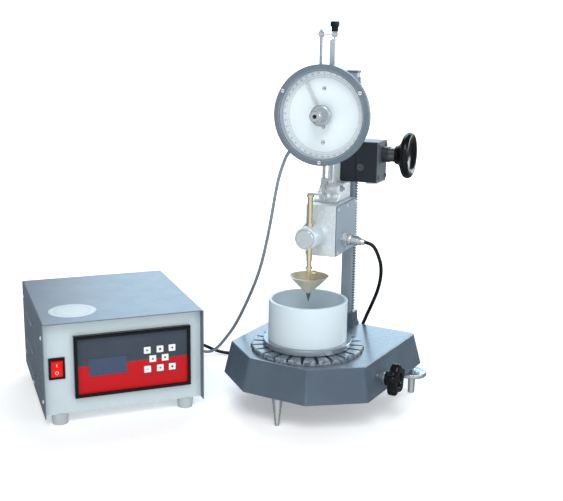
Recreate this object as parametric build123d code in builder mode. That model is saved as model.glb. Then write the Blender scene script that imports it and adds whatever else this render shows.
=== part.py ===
from build123d import *
import os
from math import asin, cos, degrees, pi, radians, sin, tan

# Laboratory penetrometer: a stand with a rack pillar, a sliding head that carries the dial, the
# release block and the falling plunger, and a control box that two cables join to the head.
# Millimetres. +X is the handwheel side, +Y the back, +Z up, and the bench is Z = 0.

# Places of the three sub-assemblies in the part frame
PLUNGER_X = 173.66
PLUNGER_Y = 33.07
BASE_TURN = -7.8
CONTROL_TURN = 43.4
CONTROL_X = -328.6
CONTROL_Y = -255.0

# Clearances
RUN = 0.05
GAP = 0.3
SLIP = 0.1
# How far a cut or a joined form runs past the face that it meets
OVER = 1.0

# Base casting
BASE_TOP_Z = 102.0
BASE_BOTTOM_Z = 48.3
BASE_DRAFT = 11.0
BASE_WALL = 8.0
BASE_CROWN = 12.0
BASE_HALF = [(51.0, -97.0), (120.5, -41.0), (124.0, 162.0)]
BASE_EDGE_R = 8.0
CROWN_DRAFT = 2.0
STEM_R = 34.0
STEM_TUBE_R = 44.0
STEM_BOTTOM_Z = 62.0
STEM_TUBE_Z = 64.0
RING_R = 90.2
RING_POCKET_R = 92.2
RING_EDGE = 1.0
RING_SEAT_Z = 98.0
RING_TOP_Z = 108.6
RING_NOTCHES = 24
# Reach, half width and depth of a notch at the rim and under the table
NOTCH_RIM = (91.2, 2.8, 5.2)
NOTCH_ROOT = (67.5, 3.8, 7.5)
NOTCH_LIP = 0.5
NOTCH_FLOOR_HALF = 0.6
KEY_HALF = 4.0
KEY_DEPTH = 4.0
KEY_TOP_Z = 96.0
KEYWAY_TOP_Z = 105.2

# Feet
FRONT_FOOT_Y = -96.0
FOOT_TOP_R = 9.0
FOOT_TIP_R = 3.2
FOOT_BOSS_R = 9.6
FOOT_BOSS_H = 14.0
LEVEL_X = 127.0
LEVEL_Y = 148.0
LEVEL_DISC_R = 25.0
LEVEL_DISC_Z = (32.0, 39.0)
LEVEL_DISC_EDGE = 1.0
LEVEL_PIN_R = 6.2
LEVEL_TIP_R = 5.6
LEVEL_THREAD_R = 4.0
LEVEL_BOSS_R = 5.8
LEVEL_BOSS_H = 10.0
LEVEL_TOP_Z = 57.5

# Clamp screw of the table stem
CLAMP_Z = 76.5
CLAMP_R = 5.0
CLAMP_KNOB_X = 149.0
CLAMP_KNOB_W = 14.0
CLAMP_HUB_X = 141.0
CLAMP_HUB_R = 12.5
CLAMP_FLARE_X = (128.0, 137.0)
CLAMP_COLLAR_R = 8.0
CLAMP_SPINDLE_X = (34.5, 152.0)
CLAMP_BORE_X = (28.0, 140.0)
CLAMP_BOSS_X = (104.0, 120.0)
CLAMP_BOSS_R = 10.0
CLAMP_CORE_R = 20.5
CLAMP_LOBES = 5
CLAMP_LOBE_R = 9.5
CLAMP_LOBE_REACH = 16.5
CLAMP_EDGE_R = 2.5

# Specimen table and dish
TABLE_R = 71.8
TABLE_Z = (109.2, 118.0)
TABLE_EDGE = 0.8
DISH_R = 63.6
DISH_WALL = 5.2
DISH_RIM_R = 1.2
DISH_FLOOR = 5.0
DISH_TOP_Z = 183.4

# Pillar and rack
PILLAR_X = (11.5, 28.5)
PILLAR_Y = (135.5, 152.5)
PILLAR_TOP_Z = 538.0
PILLAR_EDGE = 0.6
SOCKET_TOP_Z = 127.0
# Height, width and depth of the socket's foot, shoulder and top
SOCKET_SECTIONS = [(BASE_TOP_Z, 40.0, 32.0), (BASE_TOP_Z + 8.0, 33.0, 30.0), (SOCKET_TOP_Z, 31.0, 28.0)]
CAP_LIP_X = 1.5
CAP_LIP_Y = 1.0
CAP_HEIGHT = 4.0
CAP_CORNER_R = 1.0
RACK_Y = (138.0, 150.0)
RACK_BACK_X = 28.5
RACK_ROOT_X = 30.6
RACK_TIP_X = 34.0
RACK_Z = (128.0, 531.0)
RACK_MARGIN = 2.0
RACK_ROOT_HALF = 1.74
RACK_TIP_HALF = 0.5
MODULE = 1.5
PITCH = pi * MODULE

# Elevating gear in the head
PINION_TEETH = 20
PINION_R = MODULE * PINION_TEETH / 2
PINION_TIP_R = 16.4
PINION_ROOT_R = 13.1
PINION_ROOT_HALF = 1.45
PINION_TIP_HALF = 0.5
PINION_ROOM = 0.8
PINION_SIDE = 1.5
PINION_X = 47.5
PINION_Z = 386.0
AXLE_R = 6.0
AXLE_Y = (107.0, 159.0)
AXLE_BORE_Y = 160.0
AXLE_SLOT_HALF = 0.7
WORM_R = 5.0
WORM_ROOT_R = 3.3
WORM_TIP_R = 6.3
WORM_Y = 144.0
WORM_Z = PINION_Z + PINION_R + WORM_R
WORM_TURNS = 4
WORM_LEAD_TURNS = 1.5
WORM_X = (39.5, 68.0)
WORM_ROOM = 1.2
THREAD_SINK = 0.3
THREAD_ROOT_HALF = 0.75
THREAD_TIP_HALF = 0.35
SHAFT_R = 5.0
SHAFT_X = (67.5, 112.0)
SLEEVE_R = 12.0
BOSS_R = 13.0
BOSS_END_X = 88.0
SLEEVE_X = (88.3, 97.5)
WHEEL_R = 38.0
# Handwheel outline, in reach along the shaft and radius: hub, back, rim, face and cap
WHEEL_HUB = [(97.8, SHAFT_R), (97.8, 15.0), (103.0, 16.5)]
WHEEL_BACK = [(103.0, 16.5), (107.5, 23.0), (111.0, 31.0), (114.0, 36.0)]
WHEEL_BACK_ENDS = [(1.0, 1.0), (1.0, 0.8)]
WHEEL_RIM = [(114.0, 36.0), (119.5, WHEEL_R), (125.0, 35.0)]
WHEEL_FACE = [(125.0, 35.0), (125.2, 31.0), (120.0, 22.0), (117.0, 12.0)]
WHEEL_FACE_ENDS = [(0.4, -1.0), (-0.2, -1.0)]
WHEEL_CAP = [(117.0, 12.0), (116.5, 0.0), (112.0, 0.0), (112.0, SHAFT_R), (97.8, SHAFT_R)]

# Head castings
HEAD_X = (2.0, 39.0, 76.0)
HEAD_Y = (110.0, 166.0)
HEAD_FRONT_Y = 108.0
HEAD_Z = (361.0, 428.0)
HEAD_EDGE = 1.0
HEAD_PLATE_X = ((14.0, 38.6), (39.4, 75.0))
HEAD_PLATE_Z = (361.5, 427.0)
PINION_WINDOW_SIDE = 1.0
PINION_WINDOW_HALF = 18.0
BLOCK_X = (-16.0, 35.0)
BLOCK_Y = (24.0, 127.0)
BLOCK_Z = (249.5, 332.5)
BLOCK_WALL = 8.0
BLOCK_EDGE_R = 2.0
COVER_T = 2.0
COVER_MARGIN = 1.0
SOLENOID_X = (-6.0, 28.0)
SOLENOID_FRONT_Y = 72.0
SOLENOID_Z = (268.0, 302.0)
ARMATURE_R = 4.0
WEB_X = (3.0, 13.0)
ARM_FOOT_X = (-14.0, 33.0)
ARM_FOOT_BACK_Y = 126.0
ARM_EDGE = 3.0
# Side outlines of the arm, in depth and height: the foot on the block and the web to the dial
ARM_TOP_Z = HEAD_Z[0] - SLIP
ARM_FOOT = [(50.0, BLOCK_Z[1]), (55.0, 337.0), (68.0, 343.0), (80.0, 352.0), (88.0, ARM_TOP_Z),
            (ARM_FOOT_BACK_Y, ARM_TOP_Z), (ARM_FOOT_BACK_Y, BLOCK_Z[1])]
ARM_WEB = [(124.0, 340.0), (58.0, 340.0), (70.0, 362.0), (76.0, 408.0), (14.0, 418.0), (14.0, 500.0),
           (50.0, 500.0), (HEAD_Y[0], 446.0), (HEAD_Y[0], 356.0), (124.0, 356.0)]

# Release barrel and plunger
BARREL_Z = 285.0
BARREL_R = 18.0
BARREL_Y = (-20.0, BLOCK_Y[0])
BARREL_EDGE = 1.5
BARREL_ROOT_R = 23.0
BARREL_ROOT_LENGTH = 7.0
BUSH_R = 6.0
BUSH_FOOT = 6.0
BUSH_PROUD = 3.0
BUSH_BORE_HALF = 20.0
BUTTON_R = 14.6
BUTTON_Y = (-25.5, -16.0)
BUTTON_SEAT_Y = -8.0
BUTTON_EDGE = 0.8
SPRING_SET_BACK = 0.6
SPRING_PITCH = 1.7
SPRING_LENGTH = 6.8
SPRING_R = 10.0
SPRING_WIRE_R = 0.5
PLUNGER_R = 4.5
PLUNGER_TOP_Z = 352.0
PLUNGER_HEAD_R = 6.5
PLUNGER_HEAD_H = 3.0
PLUNGER_STEP_Z = 246.0
PLUNGER_NECK_R = 3.9
COLLAR_Z = 233.0
COLLAR_R = 5.5
COLLAR_H = 3.0
CONE_RIM_R = 32.5
CONE_RIM_Z = 221.3
CONE_NECK_R = 4.2
CONE_WALL = 1.6
CONE_FLOOR = 4.0
CONE_OPENING = 0.01
CONE_STEM_R = 3.9
CONE_SCREW_X = (2.6, 7.0)
CONE_SCREW_Z = 227.6
CONE_SCREW_R = 1.5
CONE_SCREW_HEAD_X = (6.0, 12.0)
CONE_SCREW_HEAD_R = 3.2
SPIGOT_R = 2.5
SPIGOT_Z = 206.0
SPIGOT_ROOM = 0.2
TIP_R = 0.1
TIP_HALF_ANGLE = 15.0

# Connector on the block cover
PLUG_Y = 58.0
PLUG_Z = 274.5
NUT_X = (37.0, 46.0)
NUT_SIDES = 6
PLUG_NUT_R = 11.5
PLUG_SOCKET_R = 7.0
PLUG_SOCKET_DEPTH = 9.0
PLUG_RING_X = 52.0
PLUG_RING_R = 9.5
PLUG_ROOT_X = 50.0
PLUG_DROOP = 7.0
PLUG_LENGTH = 24.5
# Reach and radius of each step of the plug
PLUG_STEPS = [(12.5, 8.2), (18.5, 6.9), (PLUG_LENGTH, 5.2)]

# Dial
DIAL_X = 23.5
DIAL_Z = 477.6
DIAL_R = 75.6
DIAL_OPEN_R = 65.8
DIAL_Y = (-30.0, -26.0, 14.0)
DIAL_RIM_Y = -21.0
DIAL_TAIL_R = 61.5
DIAL_TAIL_EDGE = 2.0
BEZEL_EDGE = 1.2
DIAL_BACK_Y = 10.0
DIAL_CAVITY_R = 58.0
DIAL_SEAT_R = 71.0
PLATE_Y = (-15.0, -13.5)
SCREW_CIRCLE_R = 70.2
SCREW_BEARINGS = (30, 150, 270)
SCREW_HEAD_H = 1.6
SLOT_FLOOR = 0.9
SLOT_HALF = 0.45
BEZEL_SCREW_R = 3.0
PLATE_SCREW_RISES = (40.0, -17.5, -41.0)
PLATE_SCREW_R = 2.4
PLATE_SCREW_H = 1.0
PLATE_SLOT_FLOOR = 0.5
COVER_SCREW_INSET = 6.0
COVER_SCREW_R = 2.8
HEAD_SCREW_INSET = 8.0
HEAD_SCREW_R = 3.5
HEAD_SCREW_H = 2.0
POINTER_LEAN = 28.5
POINTER_LENGTH = 57.0
POINTER_Y = (-20.0, -18.6)
POINTER_HUB_R = 7.0
POINTER_WIDTH = 4.2
POINTER_SLOT_WIDTH = 1.8
POINTER_SLOT_LENGTH = 48.0
POINTER_SLOT_SHIFT = 3.0
ZERO_FLANGE_R = 16.0
ZERO_FLANGE_Y = (-33.0, -24.0)
ZERO_FLANGE_EDGE_R = 2.5
ZERO_STEP_R = 10.0
ZERO_STEP_Y = (-40.0, -32.0)
ZERO_GRIP_R = 8.6
ZERO_GRIP_Y = (-56.0, -39.0)
ZERO_GRIP_EDGE = 1.2
ZERO_BORE_R = 3.2
ZERO_BORE_Y = -50.0
ARBOR_R = 2.5
ARBOR_Y = (-34.0, 12.5)
ARBOR_SEAT_Y = 13.0
ARBOR_ROOT_DEPTH = 0.8
ARBOR_TIP_HEIGHT = 0.55
ARBOR_ROOT_HALF = 0.6
ARBOR_TIP_HALF = 0.2
ARBOR_TEETH = 20
ARBOR_PITCH = 2.0
ARBOR_PINION_R = ARBOR_TEETH * ARBOR_PITCH / (2 * pi)
DIAL_GLAND_ANGLE = 224.0
DIAL_GLAND_R = (60.0, 70.0, 78.0)
DIAL_GLAND_NUT_R = 6.0
DIAL_GLAND_TAIL_R = 4.6
DIAL_GLAND_Y = 5.0

# Measuring rods
BAR_X = (30.6, 33.6)
BAR_Y = (-1.0, 5.0)
BAR_Z = (376.0, 590.0)
BAR_FOOT_H = 4.0
BAR_TOOTH_Z = (464.0, 526.0)
BAR_ROOT_HALF = 0.7
BAR_TIP_HALF = 0.22
BAR_WIDE_X = 25.6
BAR_WIDE_Z = 530.0
BAR_BEVEL_X = 1.0
BAR_BEVEL_Z = 2.0
ROD_X = 11.0
ROD_Y = 2.0
ROD_R = 2.3
ROD_Z = (462.0, 604.0)
BRIDGE_X = (4.5, 38.6)
BRIDGE_HALF_Y = 3.5
BRIDGE_Z = (596.0, 598.0)
BRIDGE_CORNER_R = 3.0
NUT_HEIGHT = 2.9
NUT_R = 4.3
KNOB_Z = (601.0, 608.5, 616.0)
KNOB_NECK_R = 5.2
KNOB_R = 7.0
KNOB_EDGE_R = 2.0
STUD_X = 32.1
STUD_R = 1.4
STRIP_X = (18.5, 22.9)
STRIP_Y = (0.0, 3.0)
STRIP_Z = (PLUNGER_TOP_Z + GAP, 455.0)
TOE_X = -5.0
TOE_Y = -2.5
TOE_H = 3.0
COLLAR_X = (17.3, 27.0)
COLLAR_Y = (-2.5, 5.2)
COLLAR_BLOCK_Z = (369.0, 380.0)
COLLAR_PIN_X = 25.2
COLLAR_PIN_Y = 1.5
COLLAR_PIN_R = 1.1
COLLAR_PIN_Z = 344.0

# Control box, in its own frame: X across the front, Y to the back
BOX_W = 251.0
BOX_D = 276.0
BOX_Z = (18.0, 168.0)
SHEET = 1.5
COVER_FOLD_R = 2.5
REAR_Y = 274.0
PANEL_Y = 14.0
FRAME_DEPTH = 9.0
FRAME_X = (47.0, 231.0)
FRAME_Z = (42.8, 142.5)
FRAME_BAR = 5.0
FRAME_EDGE = 1.5
OVERLAY_Y = PANEL_Y - 5.0
DISPLAY_X = (69.0, 128.0)
DISPLAY_Z = (75.7, 103.6)
DISPLAY_PROUD = 0.6
LOUVRE_Z = (141.0, 95.0, 54.0)
LOUVRE_Y = (110.0, 195.0)
LOUVRE_H = 12.0
LOUVRE_PROUD = 3.5
SWITCH_X = (9.0, 33.7)
SWITCH_Z = (76.0, 110.4)
SWITCH_LIP = 2.0
SWITCH_BODY_INSET = 2.1
SWITCH_BODY_DEPTH = 18.0
SWITCH_WELL_INSET = 3.2
SWITCH_WELL_DEPTH = 13.0
ROCKER_TILT = 8.0
ROCKER_INSET = 3.6
ROCKER_AXIS_DEPTH = 3.0
ROCKER_PIN_INSET = 3.25
ROCKER_PIN_R = 2.0
ROCKER_OUTLINE = [(-6.5, 12.8), (-4.5, 0.0), (-6.5, -12.8), (2.0, -12.8), (5.0, -4.0), (5.0, 4.0),
                  (2.0, 12.8)]
# Circuit board: its limits, its posts, and the limits across and deep and the top of each block on it
BOARD_X = (70.0, 210.0)
BOARD_Y = (80.0, 220.0)
BOARD_Z = (28.0, 30.0)
BOARD_POST_INSET = 6.0
BOARD_POST_R = 3.0
BOARD_BLOCKS = [((80.0, 130.0), (150.0, 205.0), 72.0), ((150.0, 175.0), (110.0, 130.0), 46.0),
                ((100.0, 128.0), (95.0, 120.0), 38.0)]
INLET_X = (30.0, 58.0)
INLET_Z = (32.0, 56.0)
INLET_FLANGE = 3.0
INLET_WALL = 3.0
INLET_DEPTH = 20.0
INLET_WELL_DEPTH = 16.0
BOX_FOOT_R = 13.5
BOX_FOOT_TIP_R = 12.0
BOX_FOOT_INSET = 25.0
GLAND_Y = (215.0, 258.0)
GLAND_Z = 30.0
GLAND_LENGTH = 25.0
GLAND_NUT_R = 8.0
GLAND_NUT_LENGTH = 6.0
GLAND_TAIL_R = (6.5, 4.2)

# Cables: routes in the stand frame, the first point at the head and the last at the control box
DIAL_CABLE_D = 5.4
RELEASE_CABLE_D = 6.0
ARC_SHARE = 0.45
# Straight leads out of the dial gland, the plug and the two glands of the box
DIAL_LEAD_R = 91.0
PLUG_LEAD = 10.0
BOX_LEADS = (17.0, 27.0)


def turned(x, y, angle):
    """A level frame at a place in the part frame, turned about Z."""
    across = (cos(radians(angle)), sin(radians(angle)), 0)
    return Plane(origin=(x, y, 0), x_dir=across, z_dir=(0, 0, 1))


STAND = turned(PLUNGER_X, PLUNGER_Y, 0)
BASE = turned(PLUNGER_X, PLUNGER_Y, BASE_TURN)
CONTROL = turned(PLUNGER_X + CONTROL_X, PLUNGER_Y + CONTROL_Y, CONTROL_TURN)


def up(frame, x, y, z):
    """A level plane at a point of a frame."""
    return Plane(frame.from_local_coords((x, y, z)), x_dir=frame.x_dir, z_dir=frame.z_dir)


def front(frame, x, y, z):
    """An upright plane that faces the front of a frame, with its local y upwards."""
    return Plane(frame.from_local_coords((x, y, z)), x_dir=frame.x_dir, z_dir=-frame.y_dir)


def right(frame, x, y, z):
    """An upright plane that faces the right of a frame, with its local y upwards."""
    return Plane(frame.from_local_coords((x, y, z)), x_dir=frame.y_dir, z_dir=frame.x_dir)


def spun(plane, angle):
    """A plane turned in itself by an angle in degrees."""
    across = plane.x_dir * cos(radians(angle)) + plane.y_dir * sin(radians(angle))
    return Plane(plane.origin, x_dir=across, z_dir=plane.z_dir)


def inward(limits, inset):
    """Two limits, each moved towards the other by an inset."""
    return limits[0] + inset, limits[1] - inset


def slab(frame, x, y, z, mode=Mode.ADD):
    """Add or cut a block given by its two limits along each axis of a frame."""
    with BuildSketch(up(frame, (x[0] + x[1]) / 2, (y[0] + y[1]) / 2, z[0])) as outline:
        Rectangle(x[1] - x[0], y[1] - y[0])
    extrude(outline.sketch, amount=z[1] - z[0], mode=mode)


def post(frame, x, y, z, radius, mode=Mode.ADD):
    """Add or cut an upright round bar between two heights."""
    with BuildSketch(up(frame, x, y, z[0])) as outline:
        Circle(radius)
    extrude(outline.sketch, amount=z[1] - z[0], mode=mode)


def rod_x(frame, x, y, z, radius, mode=Mode.ADD):
    """Add or cut a round bar along X between two limits."""
    with BuildSketch(right(frame, x[0], y, z)) as outline:
        Circle(radius)
    extrude(outline.sketch, amount=x[1] - x[0], mode=mode)


def rod_y(frame, x, y, z, radius, mode=Mode.ADD):
    """Add or cut a round bar along Y between two limits."""
    with BuildSketch(front(frame, x, y[1], z)) as outline:
        Circle(radius)
    extrude(outline.sketch, amount=y[1] - y[0], mode=mode)


def taper(frame, x, y, z, radii, mode=Mode.ADD):
    """Add or cut an upright cone between two heights, with a radius for each."""
    with BuildSketch(up(frame, x, y, z[0])) as low:
        Circle(radii[0])
    with BuildSketch(up(frame, x, y, z[1])) as high:
        Circle(radii[1])
    loft([low.sketch, high.sketch], mode=mode)


def gear_outline(teeth, root, tip, root_half, tip_half, first):
    """Corner points of a spur gear whose first tooth stands at an angle in degrees."""
    points = []
    for tooth in range(teeth):
        middle = first + 360 / teeth * tooth
        flank = degrees(asin(root_half / root))
        crest = degrees(asin(tip_half / tip))
        for radius, angle in ((root, -flank), (tip, -crest), (tip, crest), (root, flank)):
            turn = radians(middle + angle)
            points.append((radius * cos(turn), radius * sin(turn)))
    return points


def stand_point(point):
    """A point of the stand frame as a point of the part frame."""
    return STAND.from_local_coords(point)


def cable_path(points):
    """The corner points of a cable and the radius of the arc at each inner corner."""
    places = [stand_point(point) for point in points]
    runs = [after - before for before, after in zip(places, places[1:])]
    radii = []
    for before, after in zip(runs, runs[1:]):
        half_turn = radians(before.get_angle(after)) / 2
        radii.append(ARC_SHARE * min(before.length, after.length) / tan(half_turn))
    return places, radii


# Base casting: a hollow drafted box with a tube for the table stem and bosses for the feet
base_outline = BASE_HALF + [(-x, y) for x, y in reversed(BASE_HALF)]
with BuildPart() as base_casting:
    with BuildSketch(up(BASE, 0, 0, BASE_BOTTOM_Z)):
        Polygon(*base_outline, align=None)
        offset(amount=BASE_DRAFT, kind=Kind.INTERSECTION)
    with BuildSketch(up(BASE, 0, 0, BASE_TOP_Z)):
        Polygon(*base_outline, align=None)
    loft()
    fillet(base_casting.edges().group_by(Axis.Z)[1], radius=BASE_EDGE_R)
    fillet(base_casting.faces().sort_by(Axis.Z)[-1].edges(), radius=BASE_EDGE_R / 3)
    with BuildSketch(up(BASE, 0, 0, BASE_BOTTOM_Z)) as cavity_low:
        Polygon(*base_outline, align=None)
        offset(amount=BASE_DRAFT - BASE_WALL, kind=Kind.INTERSECTION)
    with BuildSketch(up(BASE, 0, 0, BASE_TOP_Z - BASE_CROWN)) as cavity_high:
        Polygon(*base_outline, align=None)
        offset(amount=CROWN_DRAFT - BASE_WALL, kind=Kind.INTERSECTION)
    loft(mode=Mode.SUBTRACT)
    post(STAND, 0, 0, (STEM_TUBE_Z, BASE_TOP_Z - BASE_CROWN), STEM_TUBE_R)
    post(BASE, 0, FRONT_FOOT_Y, (BASE_BOTTOM_Z, BASE_BOTTOM_Z + FOOT_BOSS_H), FOOT_BOSS_R)
    for side in (-1, 1):
        post(BASE, side * LEVEL_X, LEVEL_Y, (BASE_BOTTOM_Z, BASE_BOTTOM_Z + LEVEL_BOSS_H),
             LEVEL_BOSS_R)
    rod_x(BASE, CLAMP_BOSS_X, 0, CLAMP_Z, CLAMP_BOSS_R)
    post(STAND, 0, 0, (RING_SEAT_Z, BASE_TOP_Z + OVER), RING_POCKET_R, Mode.SUBTRACT)
    post(STAND, 0, 0, (BASE_BOTTOM_Z, BASE_TOP_Z), STEM_R + GAP, Mode.SUBTRACT)
    slab(STAND, (-KEY_HALF, KEY_HALF), (STEM_R - KEY_DEPTH + GAP, STEM_R + OVER),
         (STEM_TUBE_Z, KEY_TOP_Z))
    rod_x(BASE, CLAMP_BORE_X, 0, CLAMP_Z, CLAMP_R + RUN, Mode.SUBTRACT)
    for side in (-1, 1):
        post(BASE, side * LEVEL_X, LEVEL_Y, (BASE_BOTTOM_Z - OVER, LEVEL_TOP_Z + OVER),
             LEVEL_THREAD_R + RUN, Mode.SUBTRACT)

# Front foot: a fixed tapered pin
with BuildPart() as front_foot:
    taper(BASE, 0, FRONT_FOOT_Y, (0, BASE_BOTTOM_Z), (FOOT_TIP_R, FOOT_TOP_R))


def levelling_screw(side):
    """A knurled disc on a threaded pin, under one rear corner of the base."""
    with BuildPart() as screw:
        taper(BASE, side * LEVEL_X, LEVEL_Y, (0, LEVEL_DISC_Z[0]), (LEVEL_TIP_R, LEVEL_PIN_R))
        post(BASE, side * LEVEL_X, LEVEL_Y, LEVEL_DISC_Z, LEVEL_DISC_R)
        chamfer(screw.edges().filter_by(GeomType.CIRCLE).filter_by(
            lambda edge: edge.radius > LEVEL_DISC_R / 2), length=LEVEL_DISC_EDGE)
        post(BASE, side * LEVEL_X, LEVEL_Y, (LEVEL_DISC_Z[1], LEVEL_TOP_Z), LEVEL_THREAD_R)
    return screw


level_screw_left = levelling_screw(-1)
level_screw_right = levelling_screw(1)

# Clamp screw: a bright spindle that presses on the table stem, and its five-lobed knob
with BuildPart() as clamp_spindle:
    rod_x(BASE, CLAMP_SPINDLE_X, 0, CLAMP_Z, CLAMP_R)
    rod_x(BASE, (CLAMP_FLARE_X[1], CLAMP_HUB_X), 0, CLAMP_Z, CLAMP_COLLAR_R)
    with BuildSketch(right(BASE, CLAMP_FLARE_X[0], 0, CLAMP_Z)) as flare_thin:
        Circle(CLAMP_R)
    with BuildSketch(right(BASE, CLAMP_FLARE_X[1], 0, CLAMP_Z)) as flare_wide:
        Circle(CLAMP_COLLAR_R)
    loft([flare_thin.sketch, flare_wide.sketch])

with BuildPart() as clamp_knob:
    with BuildSketch(right(BASE, CLAMP_KNOB_X, 0, CLAMP_Z)):
        Circle(CLAMP_CORE_R)
        with PolarLocations(CLAMP_LOBE_REACH, CLAMP_LOBES, start_angle=90):
            Circle(CLAMP_LOBE_R)
    extrude(amount=CLAMP_KNOB_W)
    fillet(clamp_knob.faces().filter_by(GeomType.PLANE).edges(), radius=CLAMP_EDGE_R)
    rod_x(BASE, (CLAMP_HUB_X, CLAMP_KNOB_X + OVER), 0, CLAMP_Z, CLAMP_HUB_R)
    rod_x(BASE, (CLAMP_HUB_X - OVER, CLAMP_SPINDLE_X[1]), 0, CLAMP_Z, CLAMP_R, Mode.SUBTRACT)

# Ring nut that lifts the table: a crown of flat pads with notches between them
with BuildPart() as ring_nut:
    post(STAND, 0, 0, (RING_SEAT_Z + SLIP, RING_TOP_Z), RING_R)
    chamfer(ring_nut.faces().sort_by(Axis.Z)[-1].edges(), length=RING_EDGE)
    post(STAND, 0, 0, (RING_SEAT_Z, RING_TOP_Z + OVER), STEM_R + GAP, Mode.SUBTRACT)
    for notch in range(RING_NOTCHES):
        bearing = radians(360 / RING_NOTCHES * notch)
        outward = (cos(bearing), sin(bearing), 0)
        across = (-sin(bearing), cos(bearing), 0)
        wedge = []
        for reach, half, depth in (NOTCH_RIM, NOTCH_ROOT):
            place = stand_point((reach * cos(bearing), reach * sin(bearing), RING_TOP_Z))
            with BuildSketch(Plane(place, x_dir=across, z_dir=outward)) as section:
                Polygon((-half, NOTCH_LIP), (half, NOTCH_LIP), (NOTCH_FLOOR_HALF, -depth),
                        (-NOTCH_FLOOR_HALF, -depth), align=None)
            wedge.append(section.sketch)
        loft(wedge, mode=Mode.SUBTRACT)

# Specimen table: a disc on a keyed stem
with BuildPart() as specimen_table:
    post(STAND, 0, 0, TABLE_Z, TABLE_R)
    chamfer(specimen_table.edges(), length=TABLE_EDGE)
    post(STAND, 0, 0, (STEM_BOTTOM_Z, TABLE_Z[0]), STEM_R)
    slab(STAND, (-KEY_HALF - GAP, KEY_HALF + GAP), (STEM_R - KEY_DEPTH, STEM_R + OVER),
         (STEM_BOTTOM_Z - OVER, KEYWAY_TOP_Z), Mode.SUBTRACT)

# Specimen dish: a straight-walled plastic cup
with BuildPart() as specimen_dish:
    post(STAND, 0, 0, (TABLE_Z[1], DISH_TOP_Z), DISH_R)
    post(STAND, 0, 0, (TABLE_Z[1] + DISH_FLOOR, DISH_TOP_Z), DISH_R - DISH_WALL, Mode.SUBTRACT)
    fillet(specimen_dish.faces().sort_by(Axis.Z)[-1].edges(), radius=DISH_RIM_R)

# Pillar, its socket and its rack
PILLAR_CX = (PILLAR_X[0] + PILLAR_X[1]) / 2
PILLAR_CY = (PILLAR_Y[0] + PILLAR_Y[1]) / 2
with BuildPart() as pillar:
    slab(STAND, PILLAR_X, PILLAR_Y, (BASE_TOP_Z, PILLAR_TOP_Z))
    chamfer(pillar.edges().filter_by(Axis.Z), length=PILLAR_EDGE)

with BuildPart() as pillar_socket:
    for section_z, width, depth in SOCKET_SECTIONS:
        with BuildSketch(up(STAND, PILLAR_CX, PILLAR_CY, section_z)):
            Rectangle(width, depth)
    loft(ruled=True)
    slab(STAND, (PILLAR_X[0] - RUN, PILLAR_X[1] + RUN), (PILLAR_Y[0] - RUN, PILLAR_Y[1] + RUN),
         (BASE_TOP_Z - OVER, SOCKET_TOP_Z + OVER), Mode.SUBTRACT)

with BuildPart() as pillar_rack:
    tooth_count = int((RACK_Z[1] - RACK_Z[0]) / PITCH) - 1
    first_tooth = PINION_Z - PITCH * int((PINION_Z - RACK_Z[0] - RACK_MARGIN) / PITCH)
    profile = [(RACK_BACK_X, RACK_Z[0]), (RACK_ROOT_X, RACK_Z[0])]
    for tooth in range(tooth_count):
        middle = first_tooth + PITCH * tooth
        profile += [(RACK_ROOT_X, middle - RACK_ROOT_HALF), (RACK_TIP_X, middle - RACK_TIP_HALF)]
        profile += [(RACK_TIP_X, middle + RACK_TIP_HALF), (RACK_ROOT_X, middle + RACK_ROOT_HALF)]
    profile += [(RACK_ROOT_X, RACK_Z[1]), (RACK_BACK_X, RACK_Z[1])]
    with BuildSketch(front(STAND, 0, RACK_Y[1], 0)):
        Polygon(*profile, align=None)
    extrude(amount=RACK_Y[1] - RACK_Y[0])

with BuildPart() as pillar_cap:
    slab(STAND, (PILLAR_X[0] - CAP_LIP_X, PILLAR_X[1] + CAP_LIP_X),
         (PILLAR_Y[0] - CAP_LIP_Y, PILLAR_Y[1] + CAP_LIP_Y), (PILLAR_TOP_Z, PILLAR_TOP_Z + CAP_HEIGHT))
    fillet(pillar_cap.edges().filter_by(Axis.Z), radius=CAP_CORNER_R)

# Sliding head: the sleeve on the pillar and the gear case bolted to its right side
with BuildPart() as head_sleeve:
    slab(STAND, HEAD_X[:2], HEAD_Y, HEAD_Z)
    chamfer(head_sleeve.edges().filter_by(Axis.Z), length=HEAD_EDGE)
    slab(STAND, (PILLAR_X[0] - RUN, PILLAR_X[1] + RUN), (PILLAR_Y[0] - RUN, PILLAR_Y[1] + RUN),
         (HEAD_Z[0] - OVER, HEAD_Z[1] + OVER), Mode.SUBTRACT)
    slab(STAND, (PILLAR_X[1] - OVER, RACK_TIP_X + GAP), (RACK_Y[0] - GAP, RACK_Y[1] + GAP),
         (HEAD_Z[0] - OVER, HEAD_Z[1] + OVER), Mode.SUBTRACT)
    slab(STAND, (RACK_TIP_X - OVER, HEAD_X[1] + OVER),
         (RACK_Y[0] - PINION_WINDOW_SIDE, RACK_Y[1] + PINION_WINDOW_SIDE),
         (PINION_Z - PINION_WINDOW_HALF, PINION_Z + PINION_WINDOW_HALF), Mode.SUBTRACT)

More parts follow.
